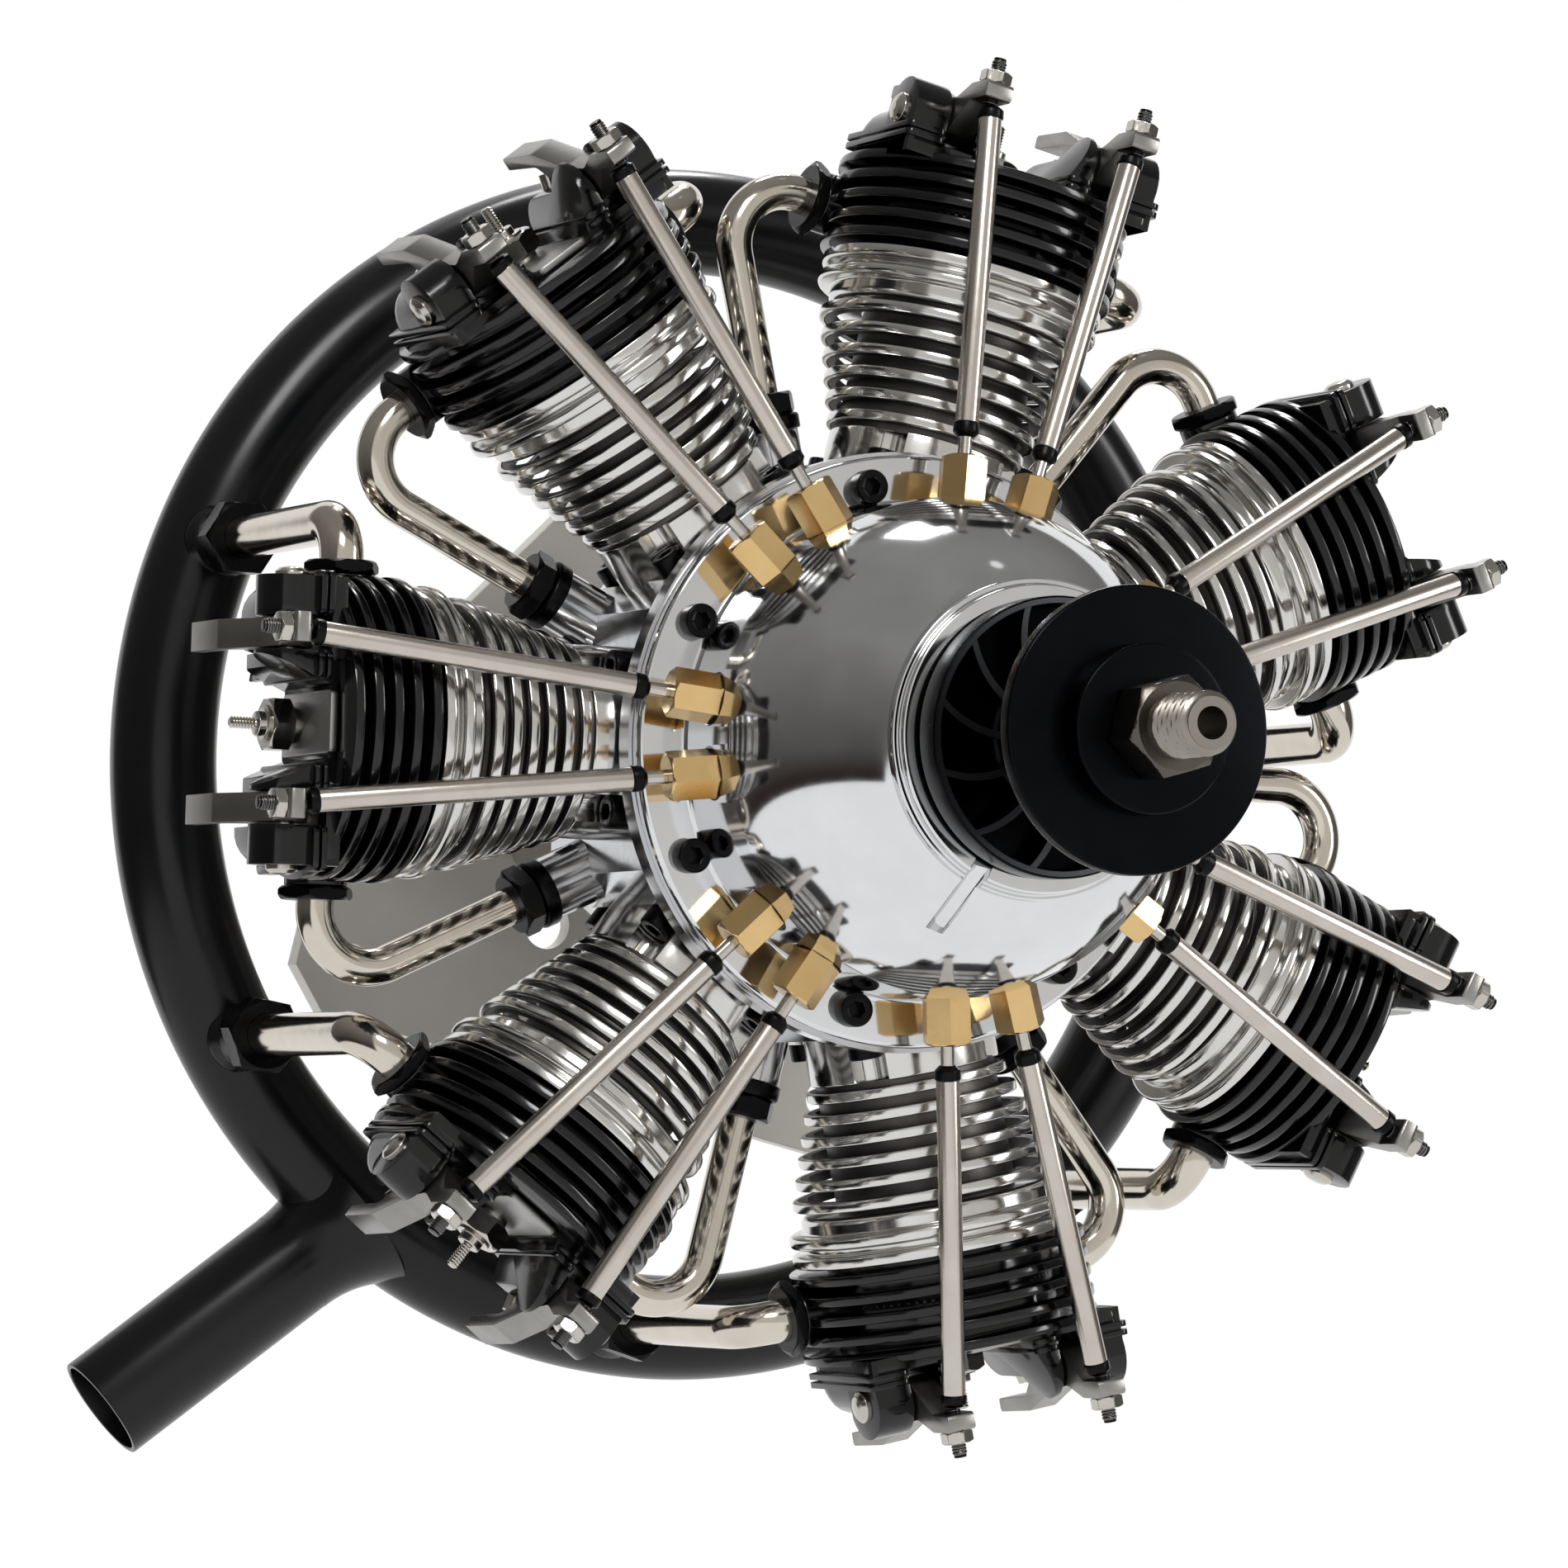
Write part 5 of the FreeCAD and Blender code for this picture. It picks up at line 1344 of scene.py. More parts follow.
@dataclass
class ValveGear:
    """Pushrods, rockers and their pivots, and the brass tappet guides."""

    recipes: Recipes
    foot_spread: float = 7.3
    foot_station: float = 113.6
    foot_height: float = 51.9
    top_spread: float = 12.9
    top_station: float = 107.5
    top_height: float = 101.65
    rod_radius: float = 1.9
    cap_radius: float = 2.1
    cap_length: float = 1.9
    pin_radius: float = 1.1
    end_length: float = 2.4
    pin_inner: float = 28.3
    guide_seat: float = 38.0
    guide_top: float = 46.2
    guide_half_flats: float = 3.5
    rocker_spread: float = 13.6
    rocker_width: float = 4.6
    pivot_station: float = 94.0
    pivot_height: float = 102.0
    adjuster_foot: float = 103.9
    adjuster_top: float = 111.6
    pad_top: float = 107.3
    valve_top: float = 105.4
    valve_station: float = 80.0
    screw_crest: float = 1.25
    screw_root: float = 1.05
    screw_pitch: float = 0.5
    pin_line: tuple[Corner, ...] = (
        (0, 8.6), (1.5, 8.6), (1.5, 22.5), (2.6, 22.5), (2.6, 23.2, 0.2), (1.9, 23.8, 0.5), (0.7, 24.0, 0.3), (0, 24.0)
    )

    def rod_foot(self, side: Side) -> Vector:
        """Where the tube of a rod begins, above its tappet."""
        return Vector((side.value * self.foot_spread, -self.foot_station, self.foot_height))

    def rod_way(self, side: Side) -> Vector:
        """The direction of a rod, from its tappet to its rocker."""
        top = Vector((side.value * self.top_spread, -self.top_station, self.top_height))
        return (top - self.rod_foot(side)).normalized()

    def rod(self, side: Side) -> list[Shell]:
        """The tappet pin, black end, tube and cap of one rod on cylinder 1."""
        way = self.rod_way(side)
        place = along(self.rod_foot(side), way)
        low = (self.pin_inner - self.foot_height) / way.z
        high = (self.top_height - self.foot_height) / way.z
        pin: list[Corner] = [
            (0, low),
            (self.pin_radius, low),
            (self.pin_radius, -self.end_length),
            (0, -self.end_length),
        ]
        end: list[Corner] = [
            (0, -self.end_length),
            (1.3, -self.end_length, 0.2),
            (self.cap_radius, -self.end_length + 0.8, 0.3),
            (self.cap_radius, 0.0, 0.25),
            (0, 0.0),
        ]
        tube: list[Corner] = [(0, 0), (self.rod_radius, 0, 0.1), (self.rod_radius, high, 0.1), (0, high)]
        cap: list[Corner] = [
            (0, high),
            (self.cap_radius, high, 0.25),
            (self.cap_radius, high + self.cap_length - 0.5, 0.3),
            (1.5, high + self.cap_length, 0.2),
            (0, high + self.cap_length),
        ]
        parts = ((pin, BRIGHT_STEEL), (end, BLACK_OXIDE), (tube, ROD_STAINLESS), (cap, BLACK_OXIDE))
        return [lathe(soften(line, closed=False), place, finish, ROD_SIDES) for line, finish in parts]

    def rocker(self, side: Side) -> list[Shell]:
        """The arm, locknut and adjusting screw of one rocker on cylinder 1."""
        outline: list[Corner] = [
            (-self.top_station - 2.8, self.adjuster_foot + 0.6, 0.7),
            (-self.top_station + 2.6, self.adjuster_foot + 0.6, 1.0),
            (-self.pivot_station - 4.2, self.pivot_height - 2.4, 2.5),
            (-self.pivot_station, self.pivot_height - 3.2, 2.5),
            (-self.pivot_station + 4.0, self.pivot_height - 2.0, 2.0),
            (-self.valve_station - 3.0, self.valve_top + 2.2, 2.0),
            (-self.valve_station + 7.0, self.valve_top + 2.9, 0.4),
            (-self.valve_station + 7.0, self.valve_top + 5.1, 0.6),
            (-self.valve_station - 4.0, self.valve_top + 4.6, 3.0),
            (-self.pivot_station + 1.0, self.pivot_height + 4.4, 3.0),
            (-self.pivot_station - 5.0, self.pivot_height + 3.4, 3.0),
            (-self.top_station + 3.5, self.pad_top, 1.0),
            (-self.top_station - 2.8, self.pad_top, 0.8),
        ]
        middle, half = side.value * self.rocker_spread, self.rocker_width / 2
        arm = slab(soften(outline), middle - half, middle + half, SIDE_VIEW, ROCKER_STEEL)
        foot = Matrix.Translation((middle, -self.top_station, 0))
        ridges: list[Corner] = []
        height = self.pad_top + 2.0
        while height < self.adjuster_top - 0.6:
            ridges += [(self.screw_crest, height), (self.screw_root, height + self.screw_pitch / 2)]
            height += self.screw_pitch
        foot_end = [(0, self.adjuster_foot), (self.screw_crest, self.adjuster_foot)]
        top_end = [(1.0, self.adjuster_top), (0, self.adjuster_top)]
        screw = lathe([*foot_end, *ridges, *top_end], foot, BLACK_OXIDE, 32)
        lock = nut(2.25, 2.0, 0.0, foot @ Matrix.Translation((0, 0, self.pad_top)), BRIGHT_STEEL)
        return [arm, screw, lock]

    def build_moving(self) -> None:
        """Makes each rod and rocker on its own body."""
        for side in SIDES:
            title = side.name.lower()
            rod, rocker = self.rod(side), self.rocker(side)
            for index in range(CYLINDERS):
                number, turn = index + 1, to_cylinder(index)
                made = piece(f"rod_{number}_{title}", [shell.moved(turn) for shell in rod])
                settle(made, f"pushrod_{number}_{title}", "stainless", f"pushrod_{number}_{title}")
                made = piece(f"arm_{number}_{title}", [shell.moved(turn) for shell in rocker], bevel=0.3)
                settle(made, f"rocker_{number}_{title}", "rocker_steel", f"rocker_{number}_{title}")

    def build_guides(self) -> None:
        """Makes the brass guides, set into the nose drum."""
        parts = []
        for side in SIDES:
            way = self.rod_way(side)
            seat = self.rod_foot(side) + way * ((self.guide_seat - self.foot_height) / way.z)
            length = (self.guide_top - self.guide_seat) / way.z
            parts.append(nut(self.guide_half_flats, length, self.pin_radius + 0.1, along(seat, way), BRASS))
        settle(self.recipes.repeat("brass_guides", parts), "engine", "brass", "tappet_guides")

    def build_pins(self) -> None:
        """Makes the pivot pins, and dresses the valves below the rockers."""
        parts = []
        for side in SIDES:
            place = along(Vector((0, -self.pivot_station, self.pivot_height)), RIGHT * side.value)
            parts.append(lathe(soften(self.pin_line, closed=False), place, BRIGHT_STEEL, ROD_SIDES))
        settle(self.recipes.repeat("pivot_pins", parts), "engine", "steel_plain", "rocker_pins")
        dress("valves", BRIGHT_STEEL)

    def build(self) -> None:
        """Makes the whole gear."""
        self.build_moving()
        self.build_guides()
        self.build_pins()


@dataclass
class PipeWork:
    """Seven intake pipes and seven exhaust elbows with their nuts."""

    recipes: Recipes
    manifold_station: float = 73.0
    boss_reach: float = 54.0
    port_face: float = 24.6
    intake_height: float = 88.0
    intake_radius: float = 3.0
    intake_bend: float = 9.0
    exhaust_station: float = 78.0
    exhaust_radius: float = 3.5
    exhaust_bend: float = 6.5
    ring_radius: float = 93.5
    boss_turn: float = 20.9
    boss_front: float = 30.0
    intake_hole: float = 3.05
    exhaust_hole: float = 3.55
    collar_height: float = 2.6
    collar_line: tuple[Corner, ...] = ((3.05, 0), (5.7, 0, 0.3), (5.7, 2.6, 0.6), (3.05, 2.6))

    def ring_place(self) -> tuple[float, float]:
        """Where the elbow of cylinder 1 meets the ring, in X and Z."""
        turn = math.radians(self.boss_turn)
        return self.ring_radius * math.sin(turn), self.ring_radius * math.cos(turn)

    def build(self) -> None:
        """Makes the pipes and nuts."""
        level = Vector((0, -self.manifold_station, 0))
        foot = level + BETWEEN * self.boss_reach
        knee = level + BETWEEN * (self.intake_height / BETWEEN.z)
        port = Vector((-self.port_face, -self.manifold_station, self.intake_height))
        pipes = self.recipes.pipe.run(
            "intake_runners",
            line_mesh([foot, knee, port]),
            PIPE_STAINLESS,
            Bend=self.intake_bend * MM,
            Radius=self.intake_radius * MM,
            Bend_Steps=28,
            Sides=40,
            Count=CYLINDERS,
        )
        settle(pipes, "engine", "stainless", "intake_pipes")
        across, up = self.ring_place()
        outlet = Vector((self.port_face, -self.exhaust_station, up))
        knee = Vector((across, -self.exhaust_station, up))
        end = Vector((across, -self.boss_front, up))
        elbows = self.recipes.pipe.run(
            "exhaust_runners",
            line_mesh([outlet, knee, end]),
            PIPE_STAINLESS,
            Bend=self.exhaust_bend * MM,
            Radius=self.exhaust_radius * MM,
            Bend_Steps=20,
            Sides=44,
            Count=CYLINDERS,
        )
        settle(elbows, "engine", "stainless", "exhaust_elbows")
        nuts = [lathe(soften(self.collar_line), along(foot, BETWEEN), BLACK_OXIDE, BOSS_SIDES, closed=True)]
        collar_top = foot + BETWEEN * self.collar_height
        for half_flats, length, bore, place, way in (
            (5.0, 3.6, self.intake_hole, collar_top, BETWEEN),
            (5.7, 5.0, self.exhaust_hole, end, AHEAD),
            (5.5, 2.2, self.exhaust_hole, outlet, RIGHT),
            (5.5, 2.2, self.intake_hole, port, -RIGHT),
        ):
            nuts.append(nut(half_flats, length, bore, along(place, way), BLACK_OXIDE))
        settle(self.recipes.repeat("pipe_nut_set", nuts), "engine", "black_anodised", "pipe_nuts")


@dataclass
class ExhaustRing:
    """The collector ring behind the cylinders, with its bosses and one outlet stub."""

    pipes: PipeWork
    tube_radius: float = 8.75
    station: float = 17.0
    boss_radius: float = 5.2
    stub_radius: float = 9.0
    stub_wall: float = 0.9
    stub_length: float = 55.0
    stub_turn: float = 156.3
    stub_lean: float = 15.1
    stub_rake: float = 5.1
    saddle_flare: float = 4.6
    saddle_height: float = 13.0
    saddle_curve: float = 2.2
    saddle_steps: int = 14

    def build(self) -> None:
        """Makes the ring."""
        radius = self.pipes.ring_radius
        hoop = [
            (radius + self.tube_radius * math.cos(turn), self.station + self.tube_radius * math.sin(turn))
            for turn in (math.tau * k / BOSS_SIDES for k in range(BOSS_SIDES))
        ]
        parts = [lathe(hoop, CRANK, RING_COAT, CASE_SIDES, closed=True)]
        across, up = self.pipes.ring_place()
        boss: list[Corner] = [
            (0, 0),
            (self.boss_radius + 1.0, 0),
            (self.boss_radius + 1.0, self.tube_radius - 1.2, 0.8),
            (self.boss_radius, self.tube_radius + 0.6, 1.2),
            (self.boss_radius, self.pipes.boss_front - self.station, 0.3),
            (0, self.pipes.boss_front - self.station),
        ]
        place = along(Vector((across, -self.station, up)), AHEAD)
        master = lathe(soften(boss, closed=False), place, RING_COAT, BOSS_SIDES)
        parts += [master.moved(to_cylinder(index)) for index in range(CYLINDERS)]
        turn = math.radians(90 + self.stub_turn)
        lean, rake = math.radians(90 + self.stub_turn - self.stub_lean), math.radians(self.stub_rake)
        start = Vector((radius * math.cos(turn), -self.station, radius * math.sin(turn)))
        way = Vector((math.cos(lean) * math.cos(rake), math.sin(rake), math.sin(lean) * math.cos(rake)))
        stub: list[Corner] = [
            (0, 2),
            (self.stub_radius, 2),
            (self.stub_radius, self.stub_length, 0.2),
            (self.stub_radius - self.stub_wall, self.stub_length, 0.2),
            (self.stub_radius - self.stub_wall, self.tube_radius + 0.5),
            (0, self.tube_radius + 0.5),
        ]
        place = along(start, way)
        parts.append(lathe(soften(stub, closed=False), place, RING_COAT, FIN_SIDES))
        flare = []
        for share in (step / self.saddle_steps for step in range(self.saddle_steps + 1)):
            reach = self.stub_radius + 0.05 + self.saddle_flare * (1 - share) ** self.saddle_curve
            flare.append((reach, 2 + self.saddle_height * share))
        parts.append(lathe([(0, 2), *flare, (0, 2 + self.saddle_height)], place, RING_COAT, FIN_SIDES))
        settle(piece("collector_ring", parts), "engine", "black_paint", "exhaust_ring")


@dataclass
class PropMount:
    """The ribbed propeller driver, its washer, nut and the threaded shaft."""

    recipes: Recipes
    rear: float = 154.0
    floor: float = 156.5
    rim_front: float = 159.25
    rim_radius: float = 21.8
    rim_wall: float = 1.4
    hub_radius: float = 9.5
    disc_radius: float = 22.0
    disc_rear: float = 182.2
    front: float = 185.0
    ribs: int = 12
    rib_thick: float = 1.1
    rib_twist: float = 15.0
    rib_curve: float = 16.0
    washer_radius: float = 13.0
    washer_thick: float = 5.0
    nut_half_flats: float = 7.0
    nut_thick: float = 8.0
    shaft_radius: float = 5.0
    thread_start: float = 198.5
    shaft_front: float = 208.7
    thread_pitch: float = 1.5
    thread_crest: float = 4.96
    thread_root: float = 4.0
    # depth of the painted highlight band on the ribs' and the rim's front edges
    wear_and_sheen: float = 0.2

    def build_driver(self) -> None:
        """Makes the driver with its curved ribs."""
        line: list[Corner] = [
            (self.shaft_radius, self.rear),
            (self.rim_radius, self.rear, 0.4),
            (self.rim_radius, self.rim_front, 0.4),
            (self.rim_radius - self.rim_wall, self.rim_front, 0.2),
            (self.rim_radius - self.rim_wall, self.floor, 0.5),
            (self.hub_radius, self.floor, 1.5),
            (self.hub_radius, self.disc_rear, 2.0),
            (self.disc_radius, self.disc_rear, 0.4),
            (self.disc_radius, self.front, 0.5),
            (self.shaft_radius, self.front),
        ]
        body = lathe(soften(line), CRANK, BLACK_ANODISED, DRIVER_SIDES, closed=True)
        settle(piece("ribbed_driver", [body]), "crank", "black_anodised", "prop_driver")
        inner, outer = self.hub_radius - 0.5, self.rim_radius - self.rim_wall / 2
        twist = math.radians(self.rib_twist)
        half_in, half_out = math.asin(self.rib_thick / 2 / inner), math.asin(self.rib_thick / 2 / outer)

        def polar(radius: float, turn: float) -> tuple[float, float]:
            return radius * math.cos(turn), radius * math.sin(turn)

        near = arc(polar(outer, half_out), polar(inner, twist + half_in), self.rib_curve, 10)
        far = arc(polar(outer, -half_out), polar(inner, twist - half_in), self.rib_curve, 10)
        outline = [*near, *reversed(far)]
        rib = slab(outline, self.floor - 0.2, self.rim_front - self.wear_and_sheen, CRANK, BLACK_ANODISED)
        ribs = self.recipes.repeat("driver_ribs", [rib], count=self.ribs)
        settle(ribs, "crank", "black_anodised")
        # A thin band of the lighter edge finish on each rib's front edge: a painted highlight.
        edge = slab(outline, self.rim_front - self.wear_and_sheen, self.rim_front, CRANK, ANODISED_EDGE_PAINTED_HIGHLIGHT)
        edges = self.recipes.repeat("driver_rib_edges", [edge], count=self.ribs)
        settle(edges, "crank", "black_anodised")
        # The same painted highlight band round the rim's front edge.
        rim = self.rim_radius - 0.35
        hoop: list[Corner] = [
            (rim - self.rim_wall + 0.6, self.rim_front - self.wear_and_sheen),
            (rim, self.rim_front - self.wear_and_sheen),
            (rim, self.rim_front + 0.05),
            (rim - self.rim_wall + 0.6, self.rim_front + 0.05),
        ]
        edge = lathe(hoop, CRANK, ANODISED_EDGE_PAINTED_HIGHLIGHT, DRIVER_SIDES, closed=True)
        settle(piece("driver_rim_edge", [edge]), "crank", "black_anodised")

    def build_shaft(self) -> None:
        """Makes the washer, the nut and the shaft with its thread."""
        front = self.front + self.washer_thick
        ring: list[Corner] = [
            (self.shaft_radius, self.front),
            (self.washer_radius, self.front),
            (self.washer_radius, front, 0.5),
            (self.shaft_radius, front),
        ]
        washer = lathe(soften(ring), CRANK, BLACK_ANODISED, FIN_SIDES, closed=True)
        settle(piece("driver_washer", [washer]), "crank", "steel_plain", "prop_washer")
        place = CRANK @ Matrix.Translation((0, 0, front))
        hexagon = nut(self.nut_half_flats, self.nut_thick, self.shaft_radius, place, BLUED_STEEL)
        settle(piece("driver_nut", [hexagon]), "crank", "steel_plain", "prop_nut")
        shaft = smooth_copy("turned_crankshaft", "crankshaft", SHAFT_STEEL, 0.0)
        for point in shaft.data.vertices:
            reach = math.hypot(point.co.x, point.co.z) / MM
            if point.co.y < -(self.thread_start - 0.2) * MM and self.thread_root < reach < self.thread_crest:
                share = self.thread_root / reach
                point.co.x, point.co.z = point.co.x * share, point.co.z * share
        settle(shaft, "crank", "steel_plain", "crankshaft")
        rows = round((self.shaft_front - self.thread_start) * 12 / self.thread_pitch)
        levels = [self.thread_start + (self.shaft_front - 0.3 - self.thread_start) * k / rows for k in range(rows + 1)]
        root = self.thread_root - 0.3
        line = [(root, levels[0]), *[(self.thread_crest, level) for level in levels], (root, levels[-1] + 0.3)]

        def helix(radius: float, height: float, turn: float) -> float:
            if radius < self.thread_root:
                return radius
            wave = abs(2 * ((height / self.thread_pitch - turn / math.tau) % 1) - 1)
            fade = min(1.0, (self.shaft_front - height) / 0.9)
            return self.thread_root + (self.thread_crest - self.thread_root) * wave * fade

        thread = lathe(line, CRANK, SHAFT_STEEL, 64, closed=True, rule=helix)
        settle(piece("shaft_thread", [thread]), "crank", "steel_plain")

    def build(self) -> None:
        """Makes everything on the crank."""
        self.build_driver()
        self.build_shaft()


@dataclass
class Fasteners:
    """The black cap screws of the barrel feet and the front flange."""

    recipes: Recipes
    head_radius: float = 2.75
    head_height: float = 3.0
    shank_radius: float = 1.5
    shank_length: float = 5.0
    socket_half_flats: float = 1.25
    socket_depth: float = 1.6
    seat_height: float = 44.5
    spread: float = 11.5
    offset: float = 11.0
    flange_face: float = 106.0
    flange_circle: float = 42.6

    def screw(self) -> Shell:
        """One cap screw, its seat at height 0."""
        bottom = self.head_height - self.socket_depth
        line: list[Corner] = [
            (0, -self.shank_length),
            (self.shank_radius, -self.shank_length),
            (self.shank_radius, 0),
            (self.head_radius, 0),
            (self.head_radius, self.head_height, 0.35),
            (self.socket_half_flats + 0.3, self.head_height),
            (self.socket_half_flats, self.head_height - 0.15),
            (self.socket_half_flats, bottom),
            (0, bottom),
        ]

        def reach(radius: float, height: float, turn: float) -> float:
            inside = abs(radius - self.socket_half_flats) < TINY
            return hexagon_radius(self.socket_half_flats, turn) if inside else radius

        return lathe(soften(line, 3, closed=False), HERE, BLACK_OXIDE, 36, rule=reach)

    def build(self) -> None:
        """Seats every screw."""
        seats = [(Vector((0, -self.flange_face, 0)) + BETWEEN * self.flange_circle, AHEAD)]
        for across in (-self.spread, self.spread):
            for ahead in (-self.offset, self.offset):
                seats.append((Vector((across, -CYLINDER_PLANE + ahead, self.seat_height)), UP))
        settle(self.recipes.seat("cap_screw_set", self.screw(), seats), "engine", "black_anodised", "cap_screws")


@dataclass
class InnerParts:
    """Pieces inside the case and the barrels."""

    def build(self) -> None:
        """Dresses the bearings, the cam ring and the pistons."""
        dress("main_bearings", BRIGHT_STEEL)
        dress("cam_ring", BRIGHT_STEEL)
        for index in range(CYLINDERS):
            dress(f"piston_{index + 1}", CAST_ALUMINIUM)


@dataclass
class Studio:
    """The floor, the soft lights, the pale room and the camera."""

    lens: float = 190.76
    sensor: float = 36.0
    place: tuple[float, float, float] = (-0.5388, -1.29685, -0.20408)
    right: tuple[float, float, float] = (0.878, -0.420, 0.231)
    back: tuple[float, float, float] = (-0.395, -0.907, -0.147)
    floor_height: float = -0.30
    floor_reach: float = 4.0
    nose: tuple[float, float, float] = (0.0, -0.136, 0.0)
    windows: tuple[tuple[float, float], ...] = ((-165.0, 61.0), (170.0, 53.0))
    window_half: float = 7.0
    fill: float = 0.55
    lamp_distance: float = 1.7
    window_lamp: tuple[float, float] = (0.3, 6.0)  # side in metres and power in watts
    lamps: tuple = (("key_softbox", (-30, 35), (0.5, 0.5), 12.0), ("right_softbox", (50, 22), (0.3, 0.8), 7.0))
    curtains: tuple = (
        (
            "grey_side_curtain", 0.6, (-152, -56), (-36, 88),
            ((-36, "#2a211f"), (-27, "#2e2523"), (-16, "#5b5956"), (10, "#777572"), (30, "#8b8a88"), (88, "#8f8e8c")),
        ),
        ("grey_roof_curtain", 0.6, (-56, 208), (48, 88), ((48, "#777572"), (88, "#8f8e8c"))),
        ("grey_front_curtain", 3.0, (-56, 60), (-4, 48), ((-4, "#dcdad6"), (48, "#c9c7c3"))),
        ("dark_right_curtain", 3.0, (60, 112), (-4, 48), ((-4, "#5c5a57"), (48, "#6b6966"))),
    )

    def build_camera(self) -> None:
        """Makes the camera at the photograph's viewpoint."""
        data = bpy.data.cameras.new("photo_camera")
        data.lens = self.lens
        data.sensor_width = self.sensor
        data.sensor_fit = "HORIZONTAL"
        data.clip_start, data.clip_end = 0.05, 20
        camera = linked("photo_camera", data)
        back = Vector(self.back).normalized()
        up = back.cross(Vector(self.right)).normalized()
        across = up.cross(back)
        turn = Matrix((across, up, back)).transposed().to_4x4()
        camera.matrix_world = Matrix.Translation(self.place) @ turn
        bpy.context.scene.camera = camera

    def softbox(self, name: str, bearing: Corner, size: tuple[float, float], power: float) -> None:
        """A rectangular lamp that faces the engine.

        Args:
            name: Its name.
            bearing: Azimuth and elevation in degrees.
            size: Width and height in metres.
            power: Its power in watts.
        """
        place = Vector(self.nose) + self.way(*bearing) * self.lamp_distance
        data = bpy.data.lights.new(name, "AREA")
        data.shape = "RECTANGLE"
        data.size, data.size_y = size
        data.energy = power
        lamp = linked(name, data)
        lamp.location = place
        aim = Vector(self.nose) - place
        lamp.rotation_euler = aim.to_track_quat("-Z", "Y").to_euler()

    def build_floor(self) -> None:
        """Makes the pale floor."""
        reach = self.floor_reach
        mesh = bpy.data.meshes.new("pale_floor")
        corners = [(-reach, -reach), (reach, -reach), (reach, reach), (-reach, reach)]
        mesh.from_pydata([(x, y, self.floor_height) for x, y in corners], [], [(0, 1, 2, 3)])
        floor = linked("pale_floor", mesh)
        paint, _, _, tone = clouded("matt_white_board", 400.0, ("#f4f4f4", "#efefef"), detail=2.0)
        tree = paint.node_tree
        shader = add_node(tree, "ShaderNodeBsdfPrincipled", {"Base Color": tone, "Roughness": 0.8})
        rays = add_node(tree, "ShaderNodeLightPath").outputs
        mirrored = combine(tree, "MAXIMUM", rays["Is Glossy Ray"], rays["Is Transmission Ray"])
        direct = combine(tree, "MULTIPLY", rays["Is Camera Ray"], 0.5)
        part = combine(tree, "MAXIMUM", mirrored, direct)
        glow = add_node(tree, "ShaderNodeEmission", {"Color": (1, 1, 1, 1), "Strength": 1.0})
        both = add_node(tree, "ShaderNodeMixShader", {0: part, 1: shader.outputs[0], 2: glow.outputs[0]})
        add_node(tree, "ShaderNodeOutputMaterial", {"Surface": both.outputs[0]})
        mesh.materials.append(paint)

    def screen(
        self, name: str, radius: float, sweep: tuple[int, int], rise: tuple[int, int], tones: Sequence[tuple[int, str]]
    ) -> None:
        """A dark curtain that only reflections show, as a patch of a ball about the nose.

        Args:
            name: Its name.
            radius: How far off it hangs, in metres.
            sweep: First and last azimuth in degrees, 0 ahead of the nose and 90 on its right.
            rise: Lowest and highest elevation in degrees.
            tones: Its sRGB colour at rising elevations.
        """
        step = 4
        across = range(sweep[0], sweep[1] + 1, step)
        up = range(rise[0], rise[1] + 1, step)
        ways = {(a, e): self.way(a, e) for a in across for e in up}
        mesh = bpy.data.meshes.new(name)
        index = {key: k for k, key in enumerate(ways)}
        faces = []
        for a in across[:-1]:
            for e in up[:-1]:
                middle = self.way(a + step / 2, e + step / 2)
                if all(middle.angle(self.way(*window)) > math.radians(self.window_half) for window in self.windows):
                    faces.append((index[a, e], index[a + step, e], index[a + step, e + step], index[a, e + step]))
        mesh.from_pydata([Vector(self.nose) + way * radius for way in ways.values()], [], faces)
        cloth = blank_material(name)
        tree = cloth.node_tree
        where = add_node(tree, "ShaderNodeTexCoord").outputs["Object"]
        cloud = add_node(tree, "ShaderNodeTexNoise", {"Vector": where, "Scale": noise_scale(300.0)})
        level = add_node(tree, "ShaderNodeMapRange", {0: cloud.outputs[0], 3: 0.8, 4: 1.2})
        height = add_node(tree, "ShaderNodeSeparateXYZ", {0: where}).outputs[2]
        share = add_node(tree, "ShaderNodeMapRange", {0: height, 1: -radius, 2: radius})
        ramp = add_node(tree, "ShaderNodeValToRGB", {0: share.outputs[0]})
        marks = ramp.color_ramp.elements
        while len(marks) < len(tones):
            marks.new(0.5)
        for mark, (elevation, tone) in zip(marks, tones):
            mark.position = (math.sin(math.radians(elevation)) + 1) / 2
            mark.color = linear(tone)
        glow = add_node(tree, "ShaderNodeEmission", {"Color": ramp.outputs[0], "Strength": level.outputs[0]})
        add_node(tree, "ShaderNodeOutputMaterial", {"Surface": glow.outputs[0]})
        mesh.materials.append(cloth)
        made = linked(name, mesh)
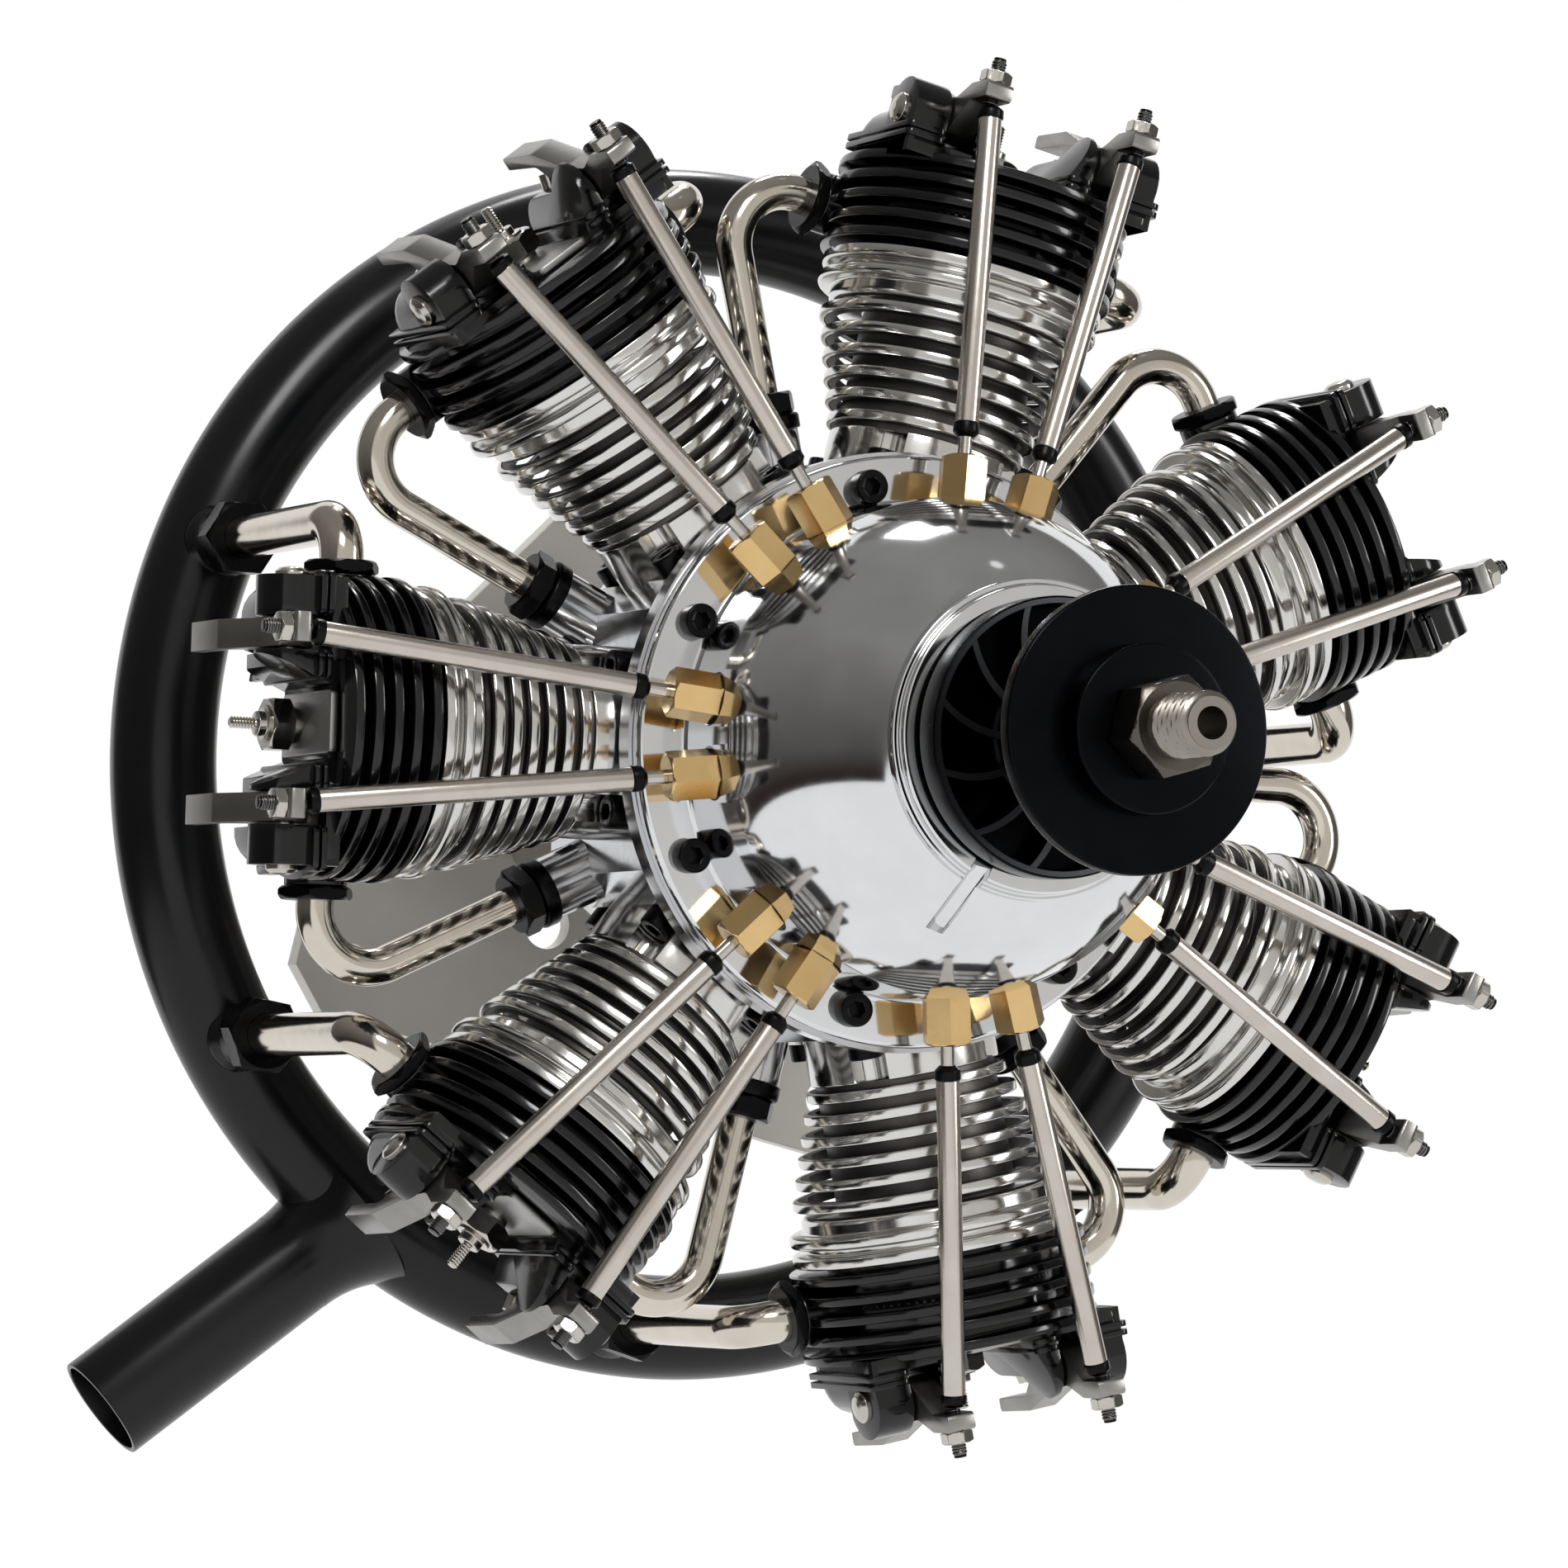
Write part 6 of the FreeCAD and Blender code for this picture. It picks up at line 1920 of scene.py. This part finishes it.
        made.visible_camera = made.visible_diffuse = made.visible_shadow = False

    def way(self, azimuth: float, elevation: float) -> Vector:
        """The direction at an azimuth and elevation in degrees."""
        turn, rise = math.radians(azimuth), math.radians(elevation)
        return Vector((math.sin(turn) * math.cos(rise), -math.cos(turn) * math.cos(rise), math.sin(rise)))

    def build_room(self) -> None:
        """Makes the world: white behind the engine and in its metal, and an even soft light from all round."""
        world = bpy.data.worlds.new("studio_room")
        world.use_nodes = True
        bpy.context.scene.world = world
        tree = world.node_tree
        tree.nodes.clear()
        rays = add_node(tree, "ShaderNodeLightPath").outputs
        seen = combine(tree, "MAXIMUM", rays["Is Camera Ray"], rays["Is Glossy Ray"])
        white = combine(tree, "MAXIMUM", seen, rays["Is Transmission Ray"])
        soft = (self.fill, self.fill, self.fill, 1)
        colour = add_node(tree, "ShaderNodeMix", {0: white, 6: soft, 7: (1, 1, 1, 1)}, data_type="RGBA")
        light = add_node(tree, "ShaderNodeBackground", {"Color": colour.outputs[2], "Strength": 1.0})
        add_node(tree, "ShaderNodeOutputWorld", {"Surface": light.outputs[0]})
        for curtain in self.curtains:
            self.screen(*curtain)

    def build(self) -> None:
        """Makes the studio."""
        self.build_camera()
        self.build_floor()
        self.build_room()
        for lamp in self.lamps:
            self.softbox(*lamp)
        side, power = self.window_lamp
        for number, window in enumerate(self.windows, 1):
            self.softbox(f"window_{number}", window, (side, side), power)
        bpy.context.scene.view_settings.view_transform = "Standard"


def main() -> None:
    """Builds the studio and every sub-assembly, in order."""
    logging.basicConfig(level=logging.INFO, format="%(message)s")
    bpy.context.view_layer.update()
    Studio().build()
    recipes = Recipes()
    pipes = PipeWork(recipes)
    gear = ValveGear(recipes)
    assemblies = (
        RearUnit(),
        Crankcase(),
        NoseCase(gear),
        CylinderBank(recipes),
        gear,
        pipes,
        ExhaustRing(pipes),
        PropMount(recipes),
        Fasteners(recipes),
        InnerParts(),
    )
    for assembly in assemblies:
        assembly.build()
        LOG.info("%s done", type(assembly).__name__)


if __name__ == "__main__":
    main()
